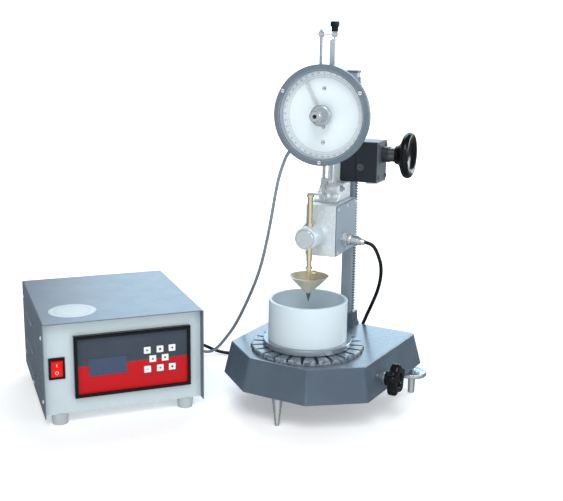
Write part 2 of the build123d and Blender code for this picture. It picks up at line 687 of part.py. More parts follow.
with BuildPart() as gear_case:
    slab(STAND, HEAD_X[1:], HEAD_Y, HEAD_Z)
    chamfer(gear_case.edges().filter_by(Axis.Z), length=HEAD_EDGE)
    rod_x(STAND, (HEAD_X[2], BOSS_END_X), WORM_Y, WORM_Z, BOSS_R)
    rod_y(STAND, PINION_X, (RACK_Y[0] - PINION_SIDE, RACK_Y[1] + PINION_SIDE), PINION_Z,
          PINION_TIP_R + PINION_ROOM, Mode.SUBTRACT)
    rod_x(STAND, (HEAD_X[1] - OVER, WORM_X[1]), WORM_Y, WORM_Z, WORM_TIP_R + WORM_ROOM, Mode.SUBTRACT)
    rod_x(STAND, (WORM_X[1] - OVER, BOSS_END_X + OVER), WORM_Y, WORM_Z, SHAFT_R + RUN, Mode.SUBTRACT)
    rod_y(STAND, PINION_X, (HEAD_Y[0] - OVER, AXLE_BORE_Y), PINION_Z, AXLE_R + RUN, Mode.SUBTRACT)

# Black front plates of the head, one on each half
with BuildPart() as head_plates:
    for plate_x in HEAD_PLATE_X:
        slab(STAND, plate_x, (HEAD_FRONT_Y, HEAD_Y[0]), HEAD_PLATE_Z)
    rod_y(STAND, PINION_X, (HEAD_FRONT_Y - OVER, HEAD_Y[0] + OVER), PINION_Z, AXLE_R + RUN, Mode.SUBTRACT)

# Elevating gear: the pinion runs on the rack and the worm on the handwheel shaft turns it
with BuildPart() as drive_pinion:
    with BuildSketch(front(STAND, PINION_X, RACK_Y[1], PINION_Z)):
        Polygon(*gear_outline(PINION_TEETH, PINION_ROOT_R, PINION_TIP_R, PINION_ROOT_HALF, PINION_TIP_HALF,
                              180 / PINION_TEETH), align=None)
    extrude(amount=RACK_Y[1] - RACK_Y[0])
    rod_y(STAND, PINION_X, AXLE_Y, PINION_Z, AXLE_R)
    slab(STAND, (PINION_X - AXLE_R, PINION_X + AXLE_R), (AXLE_Y[0] - OVER, HEAD_FRONT_Y),
         (PINION_Z - AXLE_SLOT_HALF, PINION_Z + AXLE_SLOT_HALF), Mode.SUBTRACT)

with BuildPart() as worm_shaft:
    rod_x(STAND, WORM_X, WORM_Y, WORM_Z, WORM_ROOT_R)
    rod_x(STAND, SHAFT_X, WORM_Y, WORM_Z, SHAFT_R)
    rod_x(STAND, SLEEVE_X, WORM_Y, WORM_Z, SLEEVE_R)
    thread_foot = stand_point((PINION_X - WORM_LEAD_TURNS * PITCH, WORM_Y, WORM_Z))
    with BuildLine() as thread_line:
        Helix(PITCH, PITCH * WORM_TURNS, WORM_ROOT_R - THREAD_SINK, center=thread_foot, direction=(1, 0, 0))
    thread_start = thread_line.line @ 0
    thread_height = WORM_TIP_R - WORM_ROOT_R + THREAD_SINK
    with BuildSketch(Plane(thread_start, x_dir=thread_start - thread_foot, z_dir=thread_line.line % 0)):
        Polygon((0, -THREAD_ROOT_HALF), (0, THREAD_ROOT_HALF), (thread_height, THREAD_TIP_HALF),
                (thread_height, -THREAD_TIP_HALF), align=None)
    sweep(path=thread_line.line, is_frenet=True)

with BuildPart() as handwheel:
    with BuildSketch(front(STAND, 0, WORM_Y, WORM_Z)):
        with BuildLine():
            Polyline(*WHEEL_HUB)
            Spline(*WHEEL_BACK, tangents=WHEEL_BACK_ENDS)
            ThreePointArc(*WHEEL_RIM)
            Spline(*WHEEL_FACE, tangents=WHEEL_FACE_ENDS)
            Polyline(*WHEEL_CAP)
        make_face()
    revolve(axis=Axis(stand_point((0, WORM_Y, WORM_Z)), (1, 0, 0)))

# Arm casting: carries the dial and the release block on the front of the sleeve
with BuildPart() as arm_casting:
    with BuildSketch(right(STAND, ARM_FOOT_X[0], 0, 0)):
        Polygon(*ARM_FOOT, align=None)
    extrude(amount=ARM_FOOT_X[1] - ARM_FOOT_X[0])
    back_y = stand_point((0, ARM_FOOT_BACK_Y - OVER, 0)).Y
    chamfer(arm_casting.faces().filter_by(Axis.X).edges().filter_by(
        lambda edge: edge.center().Z > BLOCK_Z[1] + OVER and edge.center().Y < back_y), length=ARM_EDGE)
    with BuildSketch(right(STAND, WEB_X[0], 0, 0)):
        Polygon(*ARM_WEB, align=None)
    extrude(amount=WEB_X[1] - WEB_X[0])

# Release block with its cover, and the solenoid inside
with BuildPart() as release_block:
    slab(STAND, BLOCK_X, BLOCK_Y, BLOCK_Z)
    fillet(release_block.edges().filter_by(Axis.Z), radius=BLOCK_EDGE_R)
    slab(STAND, (BLOCK_X[0] + BLOCK_WALL, BLOCK_X[1] + OVER),
         (BLOCK_Y[0] + BLOCK_WALL, BLOCK_Y[1] - BLOCK_WALL),
         (BLOCK_Z[0] + BLOCK_WALL, BLOCK_Z[1] - BLOCK_WALL), Mode.SUBTRACT)

COVER_X = (BLOCK_X[1], BLOCK_X[1] + COVER_T)
with BuildPart() as block_cover:
    slab(STAND, COVER_X, (BLOCK_Y[0] + COVER_MARGIN, BLOCK_Y[1] - COVER_MARGIN),
         (BLOCK_Z[0] + COVER_MARGIN, BLOCK_Z[1] - COVER_MARGIN))
    rod_x(STAND, (COVER_X[0] - OVER, COVER_X[1] + OVER), PLUG_Y, PLUG_Z, PLUG_SOCKET_R + RUN,
          Mode.SUBTRACT)

with BuildPart() as solenoid:
    slab(STAND, SOLENOID_X, (SOLENOID_FRONT_Y, BLOCK_Y[1] - BLOCK_WALL), SOLENOID_Z)
    rod_y(STAND, 0, (BLOCK_Y[0] + BLOCK_WALL, SOLENOID_FRONT_Y + OVER), BARREL_Z, ARMATURE_R)

# Release barrel: guides the plunger and holds the push button
with BuildPart() as clutch_barrel:
    rod_y(STAND, 0, BARREL_Y, BARREL_Z, BARREL_R)
    chamfer(clutch_barrel.faces().sort_by(Axis.Y)[0].edges(), length=BARREL_EDGE)
    with BuildSketch(front(STAND, 0, BARREL_Y[1], BARREL_Z)) as root_wide:
        Circle(BARREL_ROOT_R)
    with BuildSketch(front(STAND, 0, BARREL_Y[1] - BARREL_ROOT_LENGTH, BARREL_Z)) as root_narrow:
        Circle(BARREL_R)
    loft([root_wide.sketch, root_narrow.sketch])
    rod_y(STAND, 0, (BARREL_Y[0] - OVER, BUTTON_SEAT_Y), BARREL_Z, BUTTON_R + RUN, Mode.SUBTRACT)
    post(STAND, 0, 0, (BARREL_Z - BUSH_BORE_HALF, BARREL_Z + BUSH_BORE_HALF), BUSH_R + RUN, Mode.SUBTRACT)

with BuildPart() as barrel_bushes:
    for toward in (1, -1):
        low, high = sorted((BARREL_Z + toward * BUSH_FOOT, BARREL_Z + toward * (BARREL_R + BUSH_PROUD)))
        post(STAND, 0, 0, (low, high), BUSH_R)
        post(STAND, 0, 0, (low - OVER, high + OVER), PLUNGER_R + RUN, Mode.SUBTRACT)

with BuildPart() as release_button:
    rod_y(STAND, 0, BUTTON_Y, BARREL_Z, BUTTON_R)
    chamfer(release_button.faces().sort_by(Axis.Y)[0].edges(), length=BUTTON_EDGE)

with BuildPart() as button_spring:
    coil_foot = stand_point((0, BUTTON_Y[1] + SPRING_SET_BACK, BARREL_Z))
    with BuildLine() as coil_line:
        Helix(SPRING_PITCH, SPRING_LENGTH, SPRING_R, center=coil_foot, direction=(0, 1, 0))
    coil_start = coil_line.line @ 0
    with BuildSketch(Plane(coil_start, x_dir=coil_start - coil_foot, z_dir=coil_line.line % 0)):
        Circle(SPRING_WIRE_R)
    sweep(path=coil_line.line, is_frenet=True)

# Circular connector on the cover
with BuildPart() as connector_socket:
    rod_x(STAND, (COVER_X[0] - PLUG_SOCKET_DEPTH, COVER_X[1] + OVER), PLUG_Y, PLUG_Z, PLUG_SOCKET_R)
    with BuildSketch(right(STAND, NUT_X[0], PLUG_Y, PLUG_Z)):
        RegularPolygon(PLUG_NUT_R, NUT_SIDES)
    extrude(amount=NUT_X[1] - NUT_X[0])

# Plug: its coupling ring is square on the nut and its body droops under the cable
plug_out = (cos(radians(PLUG_DROOP)), 0, -sin(radians(PLUG_DROOP)))
PLUG_ROOT = (PLUG_ROOT_X, PLUG_Y, PLUG_Z)


def plug_point(reach):
    """A point on the drooping axis of the plug, in the stand frame."""
    return tuple(root + reach * way for root, way in zip(PLUG_ROOT, plug_out))


with BuildPart() as connector_plug:
    rod_x(STAND, (NUT_X[1], PLUG_RING_X), PLUG_Y, PLUG_Z, PLUG_RING_R)
    for reach, radius in PLUG_STEPS:
        with BuildSketch(Plane(stand_point(PLUG_ROOT), x_dir=(0, 1, 0), z_dir=plug_out)):
            Circle(radius)
        extrude(amount=reach)

# Dial housing, plate and bezel
def dial_tail(mode=Mode.ADD):
    """Add or cut the tapered back of the dial housing."""
    with BuildSketch(front(STAND, DIAL_X, DIAL_RIM_Y, DIAL_Z)) as rim:
        Circle(DIAL_R)
    with BuildSketch(front(STAND, DIAL_X, DIAL_Y[2], DIAL_Z)) as back:
        Circle(DIAL_TAIL_R)
    loft([rim.sketch, back.sketch], mode=mode)


with BuildPart() as dial_housing:
    rod_y(STAND, DIAL_X, (DIAL_Y[1], DIAL_RIM_Y), DIAL_Z, DIAL_R)
    dial_tail()
    chamfer(dial_housing.faces().sort_by(Axis.Y)[-1].edges(), length=DIAL_TAIL_EDGE)
    rod_y(STAND, DIAL_X, (DIAL_Y[1], PLATE_Y[1]), DIAL_Z, DIAL_SEAT_R, Mode.SUBTRACT)
    rod_y(STAND, DIAL_X, (PLATE_Y[1], DIAL_BACK_Y), DIAL_Z, DIAL_CAVITY_R, Mode.SUBTRACT)
    rod_y(STAND, DIAL_X, (DIAL_BACK_Y - OVER, ARBOR_SEAT_Y), DIAL_Z, ARBOR_R + RUN, Mode.SUBTRACT)
    slab(STAND, (BAR_X[0] - GAP, BAR_X[1] + GAP), (BAR_Y[0] - GAP, BAR_Y[1] + GAP),
         (DIAL_Z - DIAL_R - OVER, DIAL_Z + DIAL_R + OVER), Mode.SUBTRACT)
    slab(STAND, (BAR_WIDE_X - GAP, BAR_X[0]), (BAR_Y[0] - GAP, BAR_Y[1] + GAP),
         (DIAL_Z, DIAL_Z + DIAL_R + OVER), Mode.SUBTRACT)
    slab(STAND, (STRIP_X[0] - GAP, STRIP_X[1] + GAP), (STRIP_Y[0] - GAP, STRIP_Y[1] + GAP),
         (DIAL_Z - DIAL_R - OVER, DIAL_Z), Mode.SUBTRACT)
    post(STAND, ROD_X, ROD_Y, (DIAL_Z, DIAL_Z + DIAL_R + OVER), ROD_R + GAP, Mode.SUBTRACT)

with BuildPart() as dial_plate:
    rod_y(STAND, DIAL_X, PLATE_Y, DIAL_Z, DIAL_SEAT_R - RUN)
    rod_y(STAND, DIAL_X, (PLATE_Y[0] - OVER, PLATE_Y[1] + OVER), DIAL_Z, ARBOR_R + GAP, Mode.SUBTRACT)

screw_places = [(DIAL_X + SCREW_CIRCLE_R * cos(radians(a)), DIAL_Z + SCREW_CIRCLE_R * sin(radians(a)))
                for a in SCREW_BEARINGS]
with BuildPart() as dial_bezel:
    rod_y(STAND, DIAL_X, DIAL_Y[:2], DIAL_Z, DIAL_R)
    chamfer(dial_bezel.faces().sort_by(Axis.Y)[0].edges(), length=BEZEL_EDGE)
    rod_y(STAND, DIAL_X, (DIAL_Y[1], PLATE_Y[0]), DIAL_Z, DIAL_SEAT_R - GAP)
    rod_y(STAND, DIAL_X, (DIAL_Y[0] - OVER, PLATE_Y[0]), DIAL_Z, DIAL_OPEN_R, Mode.SUBTRACT)

# Screw heads of the head: dial bezel and plate, block cover and gear case
with BuildPart() as head_screws:
    for screw_x, screw_z in screw_places:
        rod_y(STAND, screw_x, (DIAL_Y[0] - SCREW_HEAD_H, DIAL_Y[0]), screw_z, BEZEL_SCREW_R)
        slab(STAND, (screw_x - BEZEL_SCREW_R, screw_x + BEZEL_SCREW_R),
             (DIAL_Y[0] - SCREW_HEAD_H - OVER, DIAL_Y[0] - SLOT_FLOOR),
             (screw_z - SLOT_HALF, screw_z + SLOT_HALF), Mode.SUBTRACT)
    for rise in PLATE_SCREW_RISES:
        screw_z = DIAL_Z + rise
        rod_y(STAND, DIAL_X, (PLATE_Y[0] - PLATE_SCREW_H, PLATE_Y[0]), screw_z, PLATE_SCREW_R)
        slab(STAND, (DIAL_X - PLATE_SCREW_R, DIAL_X + PLATE_SCREW_R),
             (PLATE_Y[0] - PLATE_SCREW_H - OVER, PLATE_Y[0] - PLATE_SLOT_FLOOR),
             (screw_z - SLOT_HALF, screw_z + SLOT_HALF), Mode.SUBTRACT)
    block_middle_y = (BLOCK_Y[0] + BLOCK_Y[1]) / 2
    for screw_y in (BLOCK_Y[0] + COVER_SCREW_INSET, block_middle_y, BLOCK_Y[1] - COVER_SCREW_INSET):
        for screw_z in (BLOCK_Z[0] + COVER_SCREW_INSET, BLOCK_Z[1] - COVER_SCREW_INSET):
            rod_x(STAND, (COVER_X[1], COVER_X[1] + SCREW_HEAD_H), screw_y, screw_z, COVER_SCREW_R)
            slab(STAND, (COVER_X[1] + SLOT_FLOOR, COVER_X[1] + SCREW_HEAD_H + OVER),
                 (screw_y - COVER_SCREW_R, screw_y + COVER_SCREW_R),
                 (screw_z - SLOT_HALF, screw_z + SLOT_HALF), Mode.SUBTRACT)
    for screw_y in (HEAD_Y[0] + HEAD_SCREW_INSET, HEAD_Y[1] - HEAD_SCREW_INSET):
        for screw_z in (HEAD_Z[0] + HEAD_SCREW_INSET, HEAD_Z[1] - HEAD_SCREW_INSET):
            rod_x(STAND, (HEAD_X[2], HEAD_X[2] + HEAD_SCREW_H), screw_y, screw_z, HEAD_SCREW_R)

# Pointer, its geared arbor and the stepped zero knob
with BuildPart() as pointer_arbor:
    rod_y(STAND, DIAL_X, ARBOR_Y, DIAL_Z, ARBOR_R)
    with BuildSketch(front(STAND, DIAL_X, BAR_Y[1], DIAL_Z)):
        Polygon(*gear_outline(ARBOR_TEETH, ARBOR_PINION_R - ARBOR_ROOT_DEPTH,
                              ARBOR_PINION_R + ARBOR_TIP_HEIGHT, ARBOR_ROOT_HALF, ARBOR_TIP_HALF,
                              180 / ARBOR_TEETH), align=None)
    extrude(amount=BAR_Y[1] - BAR_Y[0])

with BuildPart() as pointer:
    with BuildSketch(spun(front(STAND, DIAL_X, POINTER_Y[1], DIAL_Z), POINTER_LEAN)):
        Circle(POINTER_HUB_R)
        with Locations((0, POINTER_LENGTH / 2)):
            Rectangle(POINTER_WIDTH, POINTER_LENGTH)
        with Locations((0, POINTER_LENGTH / 2 + POINTER_SLOT_SHIFT)):
            Rectangle(POINTER_SLOT_WIDTH, POINTER_SLOT_LENGTH, mode=Mode.SUBTRACT)
        Circle(ARBOR_R, mode=Mode.SUBTRACT)
    extrude(amount=POINTER_Y[1] - POINTER_Y[0])

with BuildPart() as zero_knob:
    rod_y(STAND, DIAL_X, ZERO_FLANGE_Y, DIAL_Z, ZERO_FLANGE_R)
    fillet(zero_knob.faces().sort_by(Axis.Y)[0].edges(), radius=ZERO_FLANGE_EDGE_R)
    rod_y(STAND, DIAL_X, ZERO_STEP_Y, DIAL_Z, ZERO_STEP_R)
    rod_y(STAND, DIAL_X, ZERO_GRIP_Y, DIAL_Z, ZERO_GRIP_R)
    chamfer(zero_knob.faces().sort_by(Axis.Y)[0].edges(), length=ZERO_GRIP_EDGE)
    rod_y(STAND, DIAL_X, (ZERO_GRIP_Y[0] - OVER, ZERO_BORE_Y), DIAL_Z, ZERO_BORE_R, Mode.SUBTRACT)
    rod_y(STAND, DIAL_X, (ARBOR_Y[0], ZERO_FLANGE_Y[1] + OVER), DIAL_Z, ARBOR_R, Mode.SUBTRACT)

# Measuring rack, guide rod and the foot that rests over the plunger
with BuildPart() as measuring_rack:
    tooth_tip = DIAL_X + ARBOR_PINION_R - ARBOR_TIP_HEIGHT
    profile = [(BAR_X[1], BAR_Z[0]), (COLLAR_X[1], BAR_Z[0]), (COLLAR_X[1], BAR_Z[0] + BAR_FOOT_H)]
    profile += [(BAR_X[0], BAR_Z[0] + BAR_FOOT_H)]
    for tooth in range(int((BAR_TOOTH_Z[0] - DIAL_Z) / ARBOR_PITCH),
                       int((BAR_TOOTH_Z[1] - DIAL_Z) / ARBOR_PITCH)):
        middle = DIAL_Z + ARBOR_PITCH * tooth
        profile += [(BAR_X[0], middle - BAR_ROOT_HALF), (tooth_tip, middle - BAR_TIP_HALF)]
        profile += [(tooth_tip, middle + BAR_TIP_HALF), (BAR_X[0], middle + BAR_ROOT_HALF)]
    profile += [(BAR_X[0], BAR_WIDE_Z), (BAR_WIDE_X, BAR_WIDE_Z), (BAR_WIDE_X, BAR_Z[1] - BAR_BEVEL_Z)]
    profile += [(BAR_X[0] - BAR_BEVEL_X, BAR_Z[1]), (BAR_X[1], BAR_Z[1])]
    with BuildSketch(front(STAND, 0, BAR_Y[1], 0)):
        Polygon(*profile, align=None)
    extrude(amount=BAR_Y[1] - BAR_Y[0])
    post(STAND, STUD_X, ROD_Y, (BAR_Z[1], KNOB_Z[0]), STUD_R)

with BuildPart() as guide_rod:
    post(STAND, ROD_X, ROD_Y, ROD_Z, ROD_R)

with BuildPart() as rod_bridge:
    slab(STAND, BRIDGE_X, (ROD_Y - BRIDGE_HALF_Y, ROD_Y + BRIDGE_HALF_Y), BRIDGE_Z)
    fillet(rod_bridge.edges().filter_by(Axis.Z), radius=BRIDGE_CORNER_R)
    post(STAND, ROD_X, ROD_Y, (BRIDGE_Z[0] - OVER, BRIDGE_Z[1] + OVER), ROD_R + RUN, Mode.SUBTRACT)
    post(STAND, STUD_X, ROD_Y, (BRIDGE_Z[0] - OVER, BRIDGE_Z[1] + OVER), STUD_R + RUN, Mode.SUBTRACT)

with BuildPart() as measuring_nuts:
    for nut_x, bore in ((ROD_X, ROD_R), (STUD_X, STUD_R)):
        for nut_z in (BRIDGE_Z[0] - NUT_HEIGHT, BRIDGE_Z[1]):
            with BuildSketch(up(STAND, nut_x, ROD_Y, nut_z)):
                RegularPolygon(NUT_R, NUT_SIDES)
                Circle(bore + RUN, mode=Mode.SUBTRACT)
            extrude(amount=NUT_HEIGHT)
    slab(STAND, COLLAR_X, COLLAR_Y, COLLAR_BLOCK_Z)
    slab(STAND, (STRIP_X[0] - RUN, STRIP_X[1] + RUN), (STRIP_Y[0] - RUN, STRIP_Y[1] + RUN),
         (COLLAR_BLOCK_Z[0] - OVER, COLLAR_BLOCK_Z[1] + OVER), Mode.SUBTRACT)
    post(STAND, COLLAR_PIN_X, COLLAR_PIN_Y, (COLLAR_PIN_Z, COLLAR_BLOCK_Z[0]), COLLAR_PIN_R)

with BuildPart() as lift_knob:
    post(STAND, STUD_X, ROD_Y, KNOB_Z[:2], KNOB_NECK_R)
    post(STAND, STUD_X, ROD_Y, KNOB_Z[1:], KNOB_R)
    fillet(lift_knob.faces().sort_by(Axis.Z)[-1].edges(), radius=KNOB_EDGE_R)

with BuildPart() as contact_foot:
    slab(STAND, STRIP_X, STRIP_Y, STRIP_Z)
    slab(STAND, (TOE_X, STRIP_X[1]), (TOE_Y, STRIP_Y[1]), (STRIP_Z[0], STRIP_Z[0] + TOE_H))

# Plunger, cone, hardened tip and the cone's thumb screw
with BuildPart() as plunger_rod:
    post(STAND, 0, 0, (PLUNGER_STEP_Z, PLUNGER_TOP_Z), PLUNGER_R)
    post(STAND, 0, 0, (PLUNGER_TOP_Z - PLUNGER_HEAD_H, PLUNGER_TOP_Z), PLUNGER_HEAD_R)
    post(STAND, 0, 0, (COLLAR_Z, PLUNGER_STEP_Z), PLUNGER_NECK_R)
    post(STAND, 0, 0, (COLLAR_Z, COLLAR_Z + COLLAR_H), COLLAR_R)
    post(STAND, 0, 0, (SPIGOT_Z, COLLAR_Z), SPIGOT_R)

CONE_NECK_Z = CONE_RIM_Z - (CONE_RIM_R - CONE_NECK_R)
with BuildPart() as penetration_cone:
    taper(STAND, 0, 0, (CONE_NECK_Z, CONE_RIM_Z), (CONE_NECK_R, CONE_RIM_R))
    taper(STAND, 0, 0, (CONE_NECK_Z + CONE_FLOOR, CONE_RIM_Z + CONE_OPENING),
          (CONE_NECK_R + CONE_FLOOR - CONE_WALL, CONE_RIM_R - CONE_WALL), Mode.SUBTRACT)
    post(STAND, 0, 0, (CONE_NECK_Z + CONE_FLOOR - OVER, COLLAR_Z), CONE_STEM_R)
    post(STAND, 0, 0, (SPIGOT_Z - SPIGOT_ROOM, COLLAR_Z + OVER), SPIGOT_R + RUN, Mode.SUBTRACT)
    rod_x(STAND, (0, CONE_SCREW_HEAD_X[0]), 0, CONE_SCREW_Z, CONE_SCREW_R + RUN, Mode.SUBTRACT)

with BuildPart() as cone_tip:
    tip_length = (CONE_NECK_R - TIP_R) / tan(radians(TIP_HALF_ANGLE))
    taper(STAND, 0, 0, (CONE_NECK_Z - tip_length, CONE_NECK_Z), (TIP_R, CONE_NECK_R))

with BuildPart() as cone_screw:
    rod_x(STAND, CONE_SCREW_X, 0, CONE_SCREW_Z, CONE_SCREW_R)
    rod_x(STAND, CONE_SCREW_HEAD_X, 0, CONE_SCREW_Z, CONE_SCREW_HEAD_R)

# Control box: sheet chassis with front and rear panels, folded cover, front panel fittings
chassis_x = (SHEET + SLIP, BOX_W - SHEET - SLIP)
with BuildPart() as control_chassis:
    slab(CONTROL, chassis_x, (PANEL_Y, REAR_Y), (BOX_Z[0], BOX_Z[0] + SHEET))
    for panel_y in (PANEL_Y, REAR_Y - SHEET):
        slab(CONTROL, chassis_x, (panel_y, panel_y + SHEET), (BOX_Z[0], BOX_Z[1] - SHEET - SLIP))
    slab(CONTROL, inward(SWITCH_X, SWITCH_LIP), (PANEL_Y - OVER, PANEL_Y + SHEET + OVER),
         inward(SWITCH_Z, SWITCH_LIP), Mode.SUBTRACT)
    slab(CONTROL, INLET_X, (REAR_Y - SHEET - OVER, REAR_Y + OVER), INLET_Z, Mode.SUBTRACT)

with BuildPart() as control_cover:
    slab(CONTROL, (0, BOX_W), (0, BOX_D), (BOX_Z[0], BOX_Z[1]))
    fillet(control_cover.edges().filter_by(Axis(CONTROL.origin, CONTROL.y_dir)).group_by(Axis.Z)[-1],
           radius=COVER_FOLD_R)
    slab(CONTROL, (SHEET, BOX_W - SHEET), (-OVER, BOX_D + OVER), (BOX_Z[0] - OVER, BOX_Z[1] - SHEET),
         Mode.SUBTRACT)
    for louvre_z in LOUVRE_Z:
        with BuildSketch(front(CONTROL, 0, LOUVRE_Y[1], louvre_z)):
            for side_x, outward in ((0, -1), (BOX_W, 1)):
                Polygon((side_x, LOUVRE_H / 2), (side_x + outward * LOUVRE_PROUD, -LOUVRE_H / 2),
                        (side_x, -LOUVRE_H / 2), align=None)
        extrude(amount=LOUVRE_Y[1] - LOUVRE_Y[0])

with BuildPart() as control_feet:
    for foot_x in (BOX_FOOT_INSET, BOX_W - BOX_FOOT_INSET):
        for foot_y in (BOX_FOOT_INSET, BOX_D - BOX_FOOT_INSET):
            taper(CONTROL, foot_x, foot_y, (0, BOX_Z[0]), (BOX_FOOT_TIP_R, BOX_FOOT_R))

with BuildPart() as panel_frame:
    slab(CONTROL, FRAME_X, (PANEL_Y - FRAME_DEPTH, PANEL_Y), FRAME_Z)
    chamfer(panel_frame.faces().sort_by(Axis(CONTROL.origin, CONTROL.y_dir))[0].edges(),
            length=FRAME_EDGE)
    slab(CONTROL, inward(FRAME_X, FRAME_BAR), (PANEL_Y - FRAME_DEPTH - OVER, PANEL_Y + OVER),
         inward(FRAME_Z, FRAME_BAR), Mode.SUBTRACT)

with BuildPart() as keypad_overlay:
    slab(CONTROL, inward(FRAME_X, FRAME_BAR), (OVERLAY_Y, PANEL_Y), inward(FRAME_Z, FRAME_BAR))

with BuildPart() as display_window:
    slab(CONTROL, DISPLAY_X, (OVERLAY_Y - DISPLAY_PROUD, OVERLAY_Y), DISPLAY_Z)

with BuildPart() as switch_housing:
    slab(CONTROL, SWITCH_X, (PANEL_Y - SWITCH_LIP, PANEL_Y), SWITCH_Z)
    slab(CONTROL, inward(SWITCH_X, SWITCH_BODY_INSET), (PANEL_Y - OVER, PANEL_Y + SWITCH_BODY_DEPTH),
         inward(SWITCH_Z, SWITCH_BODY_INSET))
    slab(CONTROL, inward(SWITCH_X, SWITCH_WELL_INSET),
         (PANEL_Y - SWITCH_LIP - OVER, PANEL_Y + SWITCH_WELL_DEPTH),
         inward(SWITCH_Z, SWITCH_WELL_INSET), Mode.SUBTRACT)

ROCKER_Y = PANEL_Y + ROCKER_AXIS_DEPTH
ROCKER_Z = (SWITCH_Z[0] + SWITCH_Z[1]) / 2
with BuildPart() as switch_rocker:
    with BuildSketch(spun(right(CONTROL, SWITCH_X[0] + ROCKER_INSET, ROCKER_Y, ROCKER_Z), ROCKER_TILT)):
        Polygon(*ROCKER_OUTLINE, align=None)
    extrude(amount=SWITCH_X[1] - SWITCH_X[0] - 2 * ROCKER_INSET)
    rod_x(CONTROL, inward(SWITCH_X, ROCKER_PIN_INSET), ROCKER_Y, ROCKER_Z, ROCKER_PIN_R)

with BuildPart() as circuit_board:
    slab(CONTROL, BOARD_X, BOARD_Y, BOARD_Z)
    for post_x in inward(BOARD_X, BOARD_POST_INSET):
        for post_y in inward(BOARD_Y, BOARD_POST_INSET):
            post(CONTROL, post_x, post_y, (BOX_Z[0] + SHEET, BOARD_Z[0]), BOARD_POST_R)
    for block_x, block_y, block_top in BOARD_BLOCKS:
        slab(CONTROL, block_x, block_y, (BOARD_Z[1], block_top))

with BuildPart() as cable_glands:
    for gland_y in GLAND_Y:
        rod_x(CONTROL, (BOX_W, BOX_W + GLAND_NUT_LENGTH), gland_y, GLAND_Z, GLAND_NUT_R)
        with BuildSketch(right(CONTROL, BOX_W + GLAND_NUT_LENGTH, gland_y, GLAND_Z)) as wide:
            Circle(GLAND_TAIL_R[0])
        with BuildSketch(right(CONTROL, BOX_W + GLAND_LENGTH, gland_y, GLAND_Z)) as narrow:
            Circle(GLAND_TAIL_R[1])
        loft([wide.sketch, narrow.sketch])

with BuildPart() as power_inlet:
    slab(CONTROL, inward(INLET_X, SLIP), (BOX_D - INLET_DEPTH, REAR_Y), inward(INLET_Z, SLIP))
    slab(CONTROL, inward(INLET_X, -INLET_FLANGE), (REAR_Y, BOX_D), inward(INLET_Z, -INLET_FLANGE))
    slab(CONTROL, inward(INLET_X, INLET_WALL), (BOX_D - INLET_WELL_DEPTH, BOX_D + OVER),
         inward(INLET_Z, INLET_WALL), Mode.SUBTRACT)

# Cable gland on the rim of the dial housing
gland_out = (cos(radians(DIAL_GLAND_ANGLE)), 0, sin(radians(DIAL_GLAND_ANGLE)))
gland_places = [stand_point((DIAL_X + reach * gland_out[0], DIAL_GLAND_Y, DIAL_Z + reach * gland_out[2]))
                for reach in DIAL_GLAND_R]
with BuildPart() as dial_gland:
    for reach, radius in ((DIAL_GLAND_R[1], DIAL_GLAND_NUT_R), (DIAL_GLAND_R[2], DIAL_GLAND_TAIL_R)):
        with BuildSketch(Plane(gland_places[0], x_dir=(0, 1, 0), z_dir=gland_out)):
            Circle(radius)
        extrude(amount=reach - DIAL_GLAND_R[0])
    dial_tail(Mode.SUBTRACT)

# Cable routes: each ends on the axis of the gland or plug that it meets
box_ends = [CONTROL.from_local_coords((BOX_W + GLAND_LENGTH + reach, y, GLAND_Z))
            for y, lead in zip(GLAND_Y, BOX_LEADS) for reach in (lead, 0)]
box_ends = [tuple(STAND.to_local_coords(place)) for place in box_ends]
DIAL_CABLE = [
    (DIAL_X + DIAL_GLAND_R[2] * gland_out[0], DIAL_GLAND_Y, DIAL_Z + DIAL_GLAND_R[2] * gland_out[2]),
    (DIAL_X + DIAL_LEAD_R * gland_out[0], DIAL_GLAND_Y, DIAL_Z + DIAL_LEAD_R * gland_out[2]),
    (-50, 8, 397), (-60, 15, 374), (-70, 25, 343), (-80, 35, 304), (-93.5, 46, 254), (-110, 58, 204),
    (-135, 71, 151), (-166, 84, 94), (-189, 90, 63), (-207.5, 96.5, 41), (-229, 106, 25.5),
    (-247.4, 108.1, 25), *box_ends[:2],
]
RELEASE_CABLE = [
    plug_point(PLUG_LENGTH), plug_point(PLUG_LENGTH + PLUG_LEAD), (91.5, 59.5, 263), (96.5, 63, 250),
    (99.3, 71, 234), (95.0, 90, 209), (85, 109, 178), (66, 135, 140),
    (44, 170, 99), (26, 196, 58), (6, 214, 24), (-24, 226, 7), (-62, 231, 3.2), (-112, 226, 3.2),
    (-160, 208, 3.2), (-198, 186, 3.2), (-226, 172, 3.5), (-247, 168, 7), (-266, 160, 17),
    *box_ends[2:],
]


def cable(points, diameter, name):
    """A round cable along straight runs and tangent arcs; prints its radii and volume."""
    places, radii = cable_path(points)
    with BuildPart() as tube:
        with BuildLine() as route:
            FilletPolyline(*places, radius=radii)
        with BuildSketch(Plane(route.line @ 0, z_dir=route.line % 0)):
            Circle(diameter / 2)
        sweep(path=route.line)
    expected = pi * diameter ** 2 / 4 * route.wire().length
    print(name, "length", round(route.wire().length, 1), "volume ratio",
          round(tube.part.volume / expected, 4), "radii", [round(r, 1) for r in radii])
    return tube


dial_cable = cable(DIAL_CABLE, DIAL_CABLE_D, "dial_cable")
release_cable = cable(RELEASE_CABLE, RELEASE_CABLE_D, "release_cable")

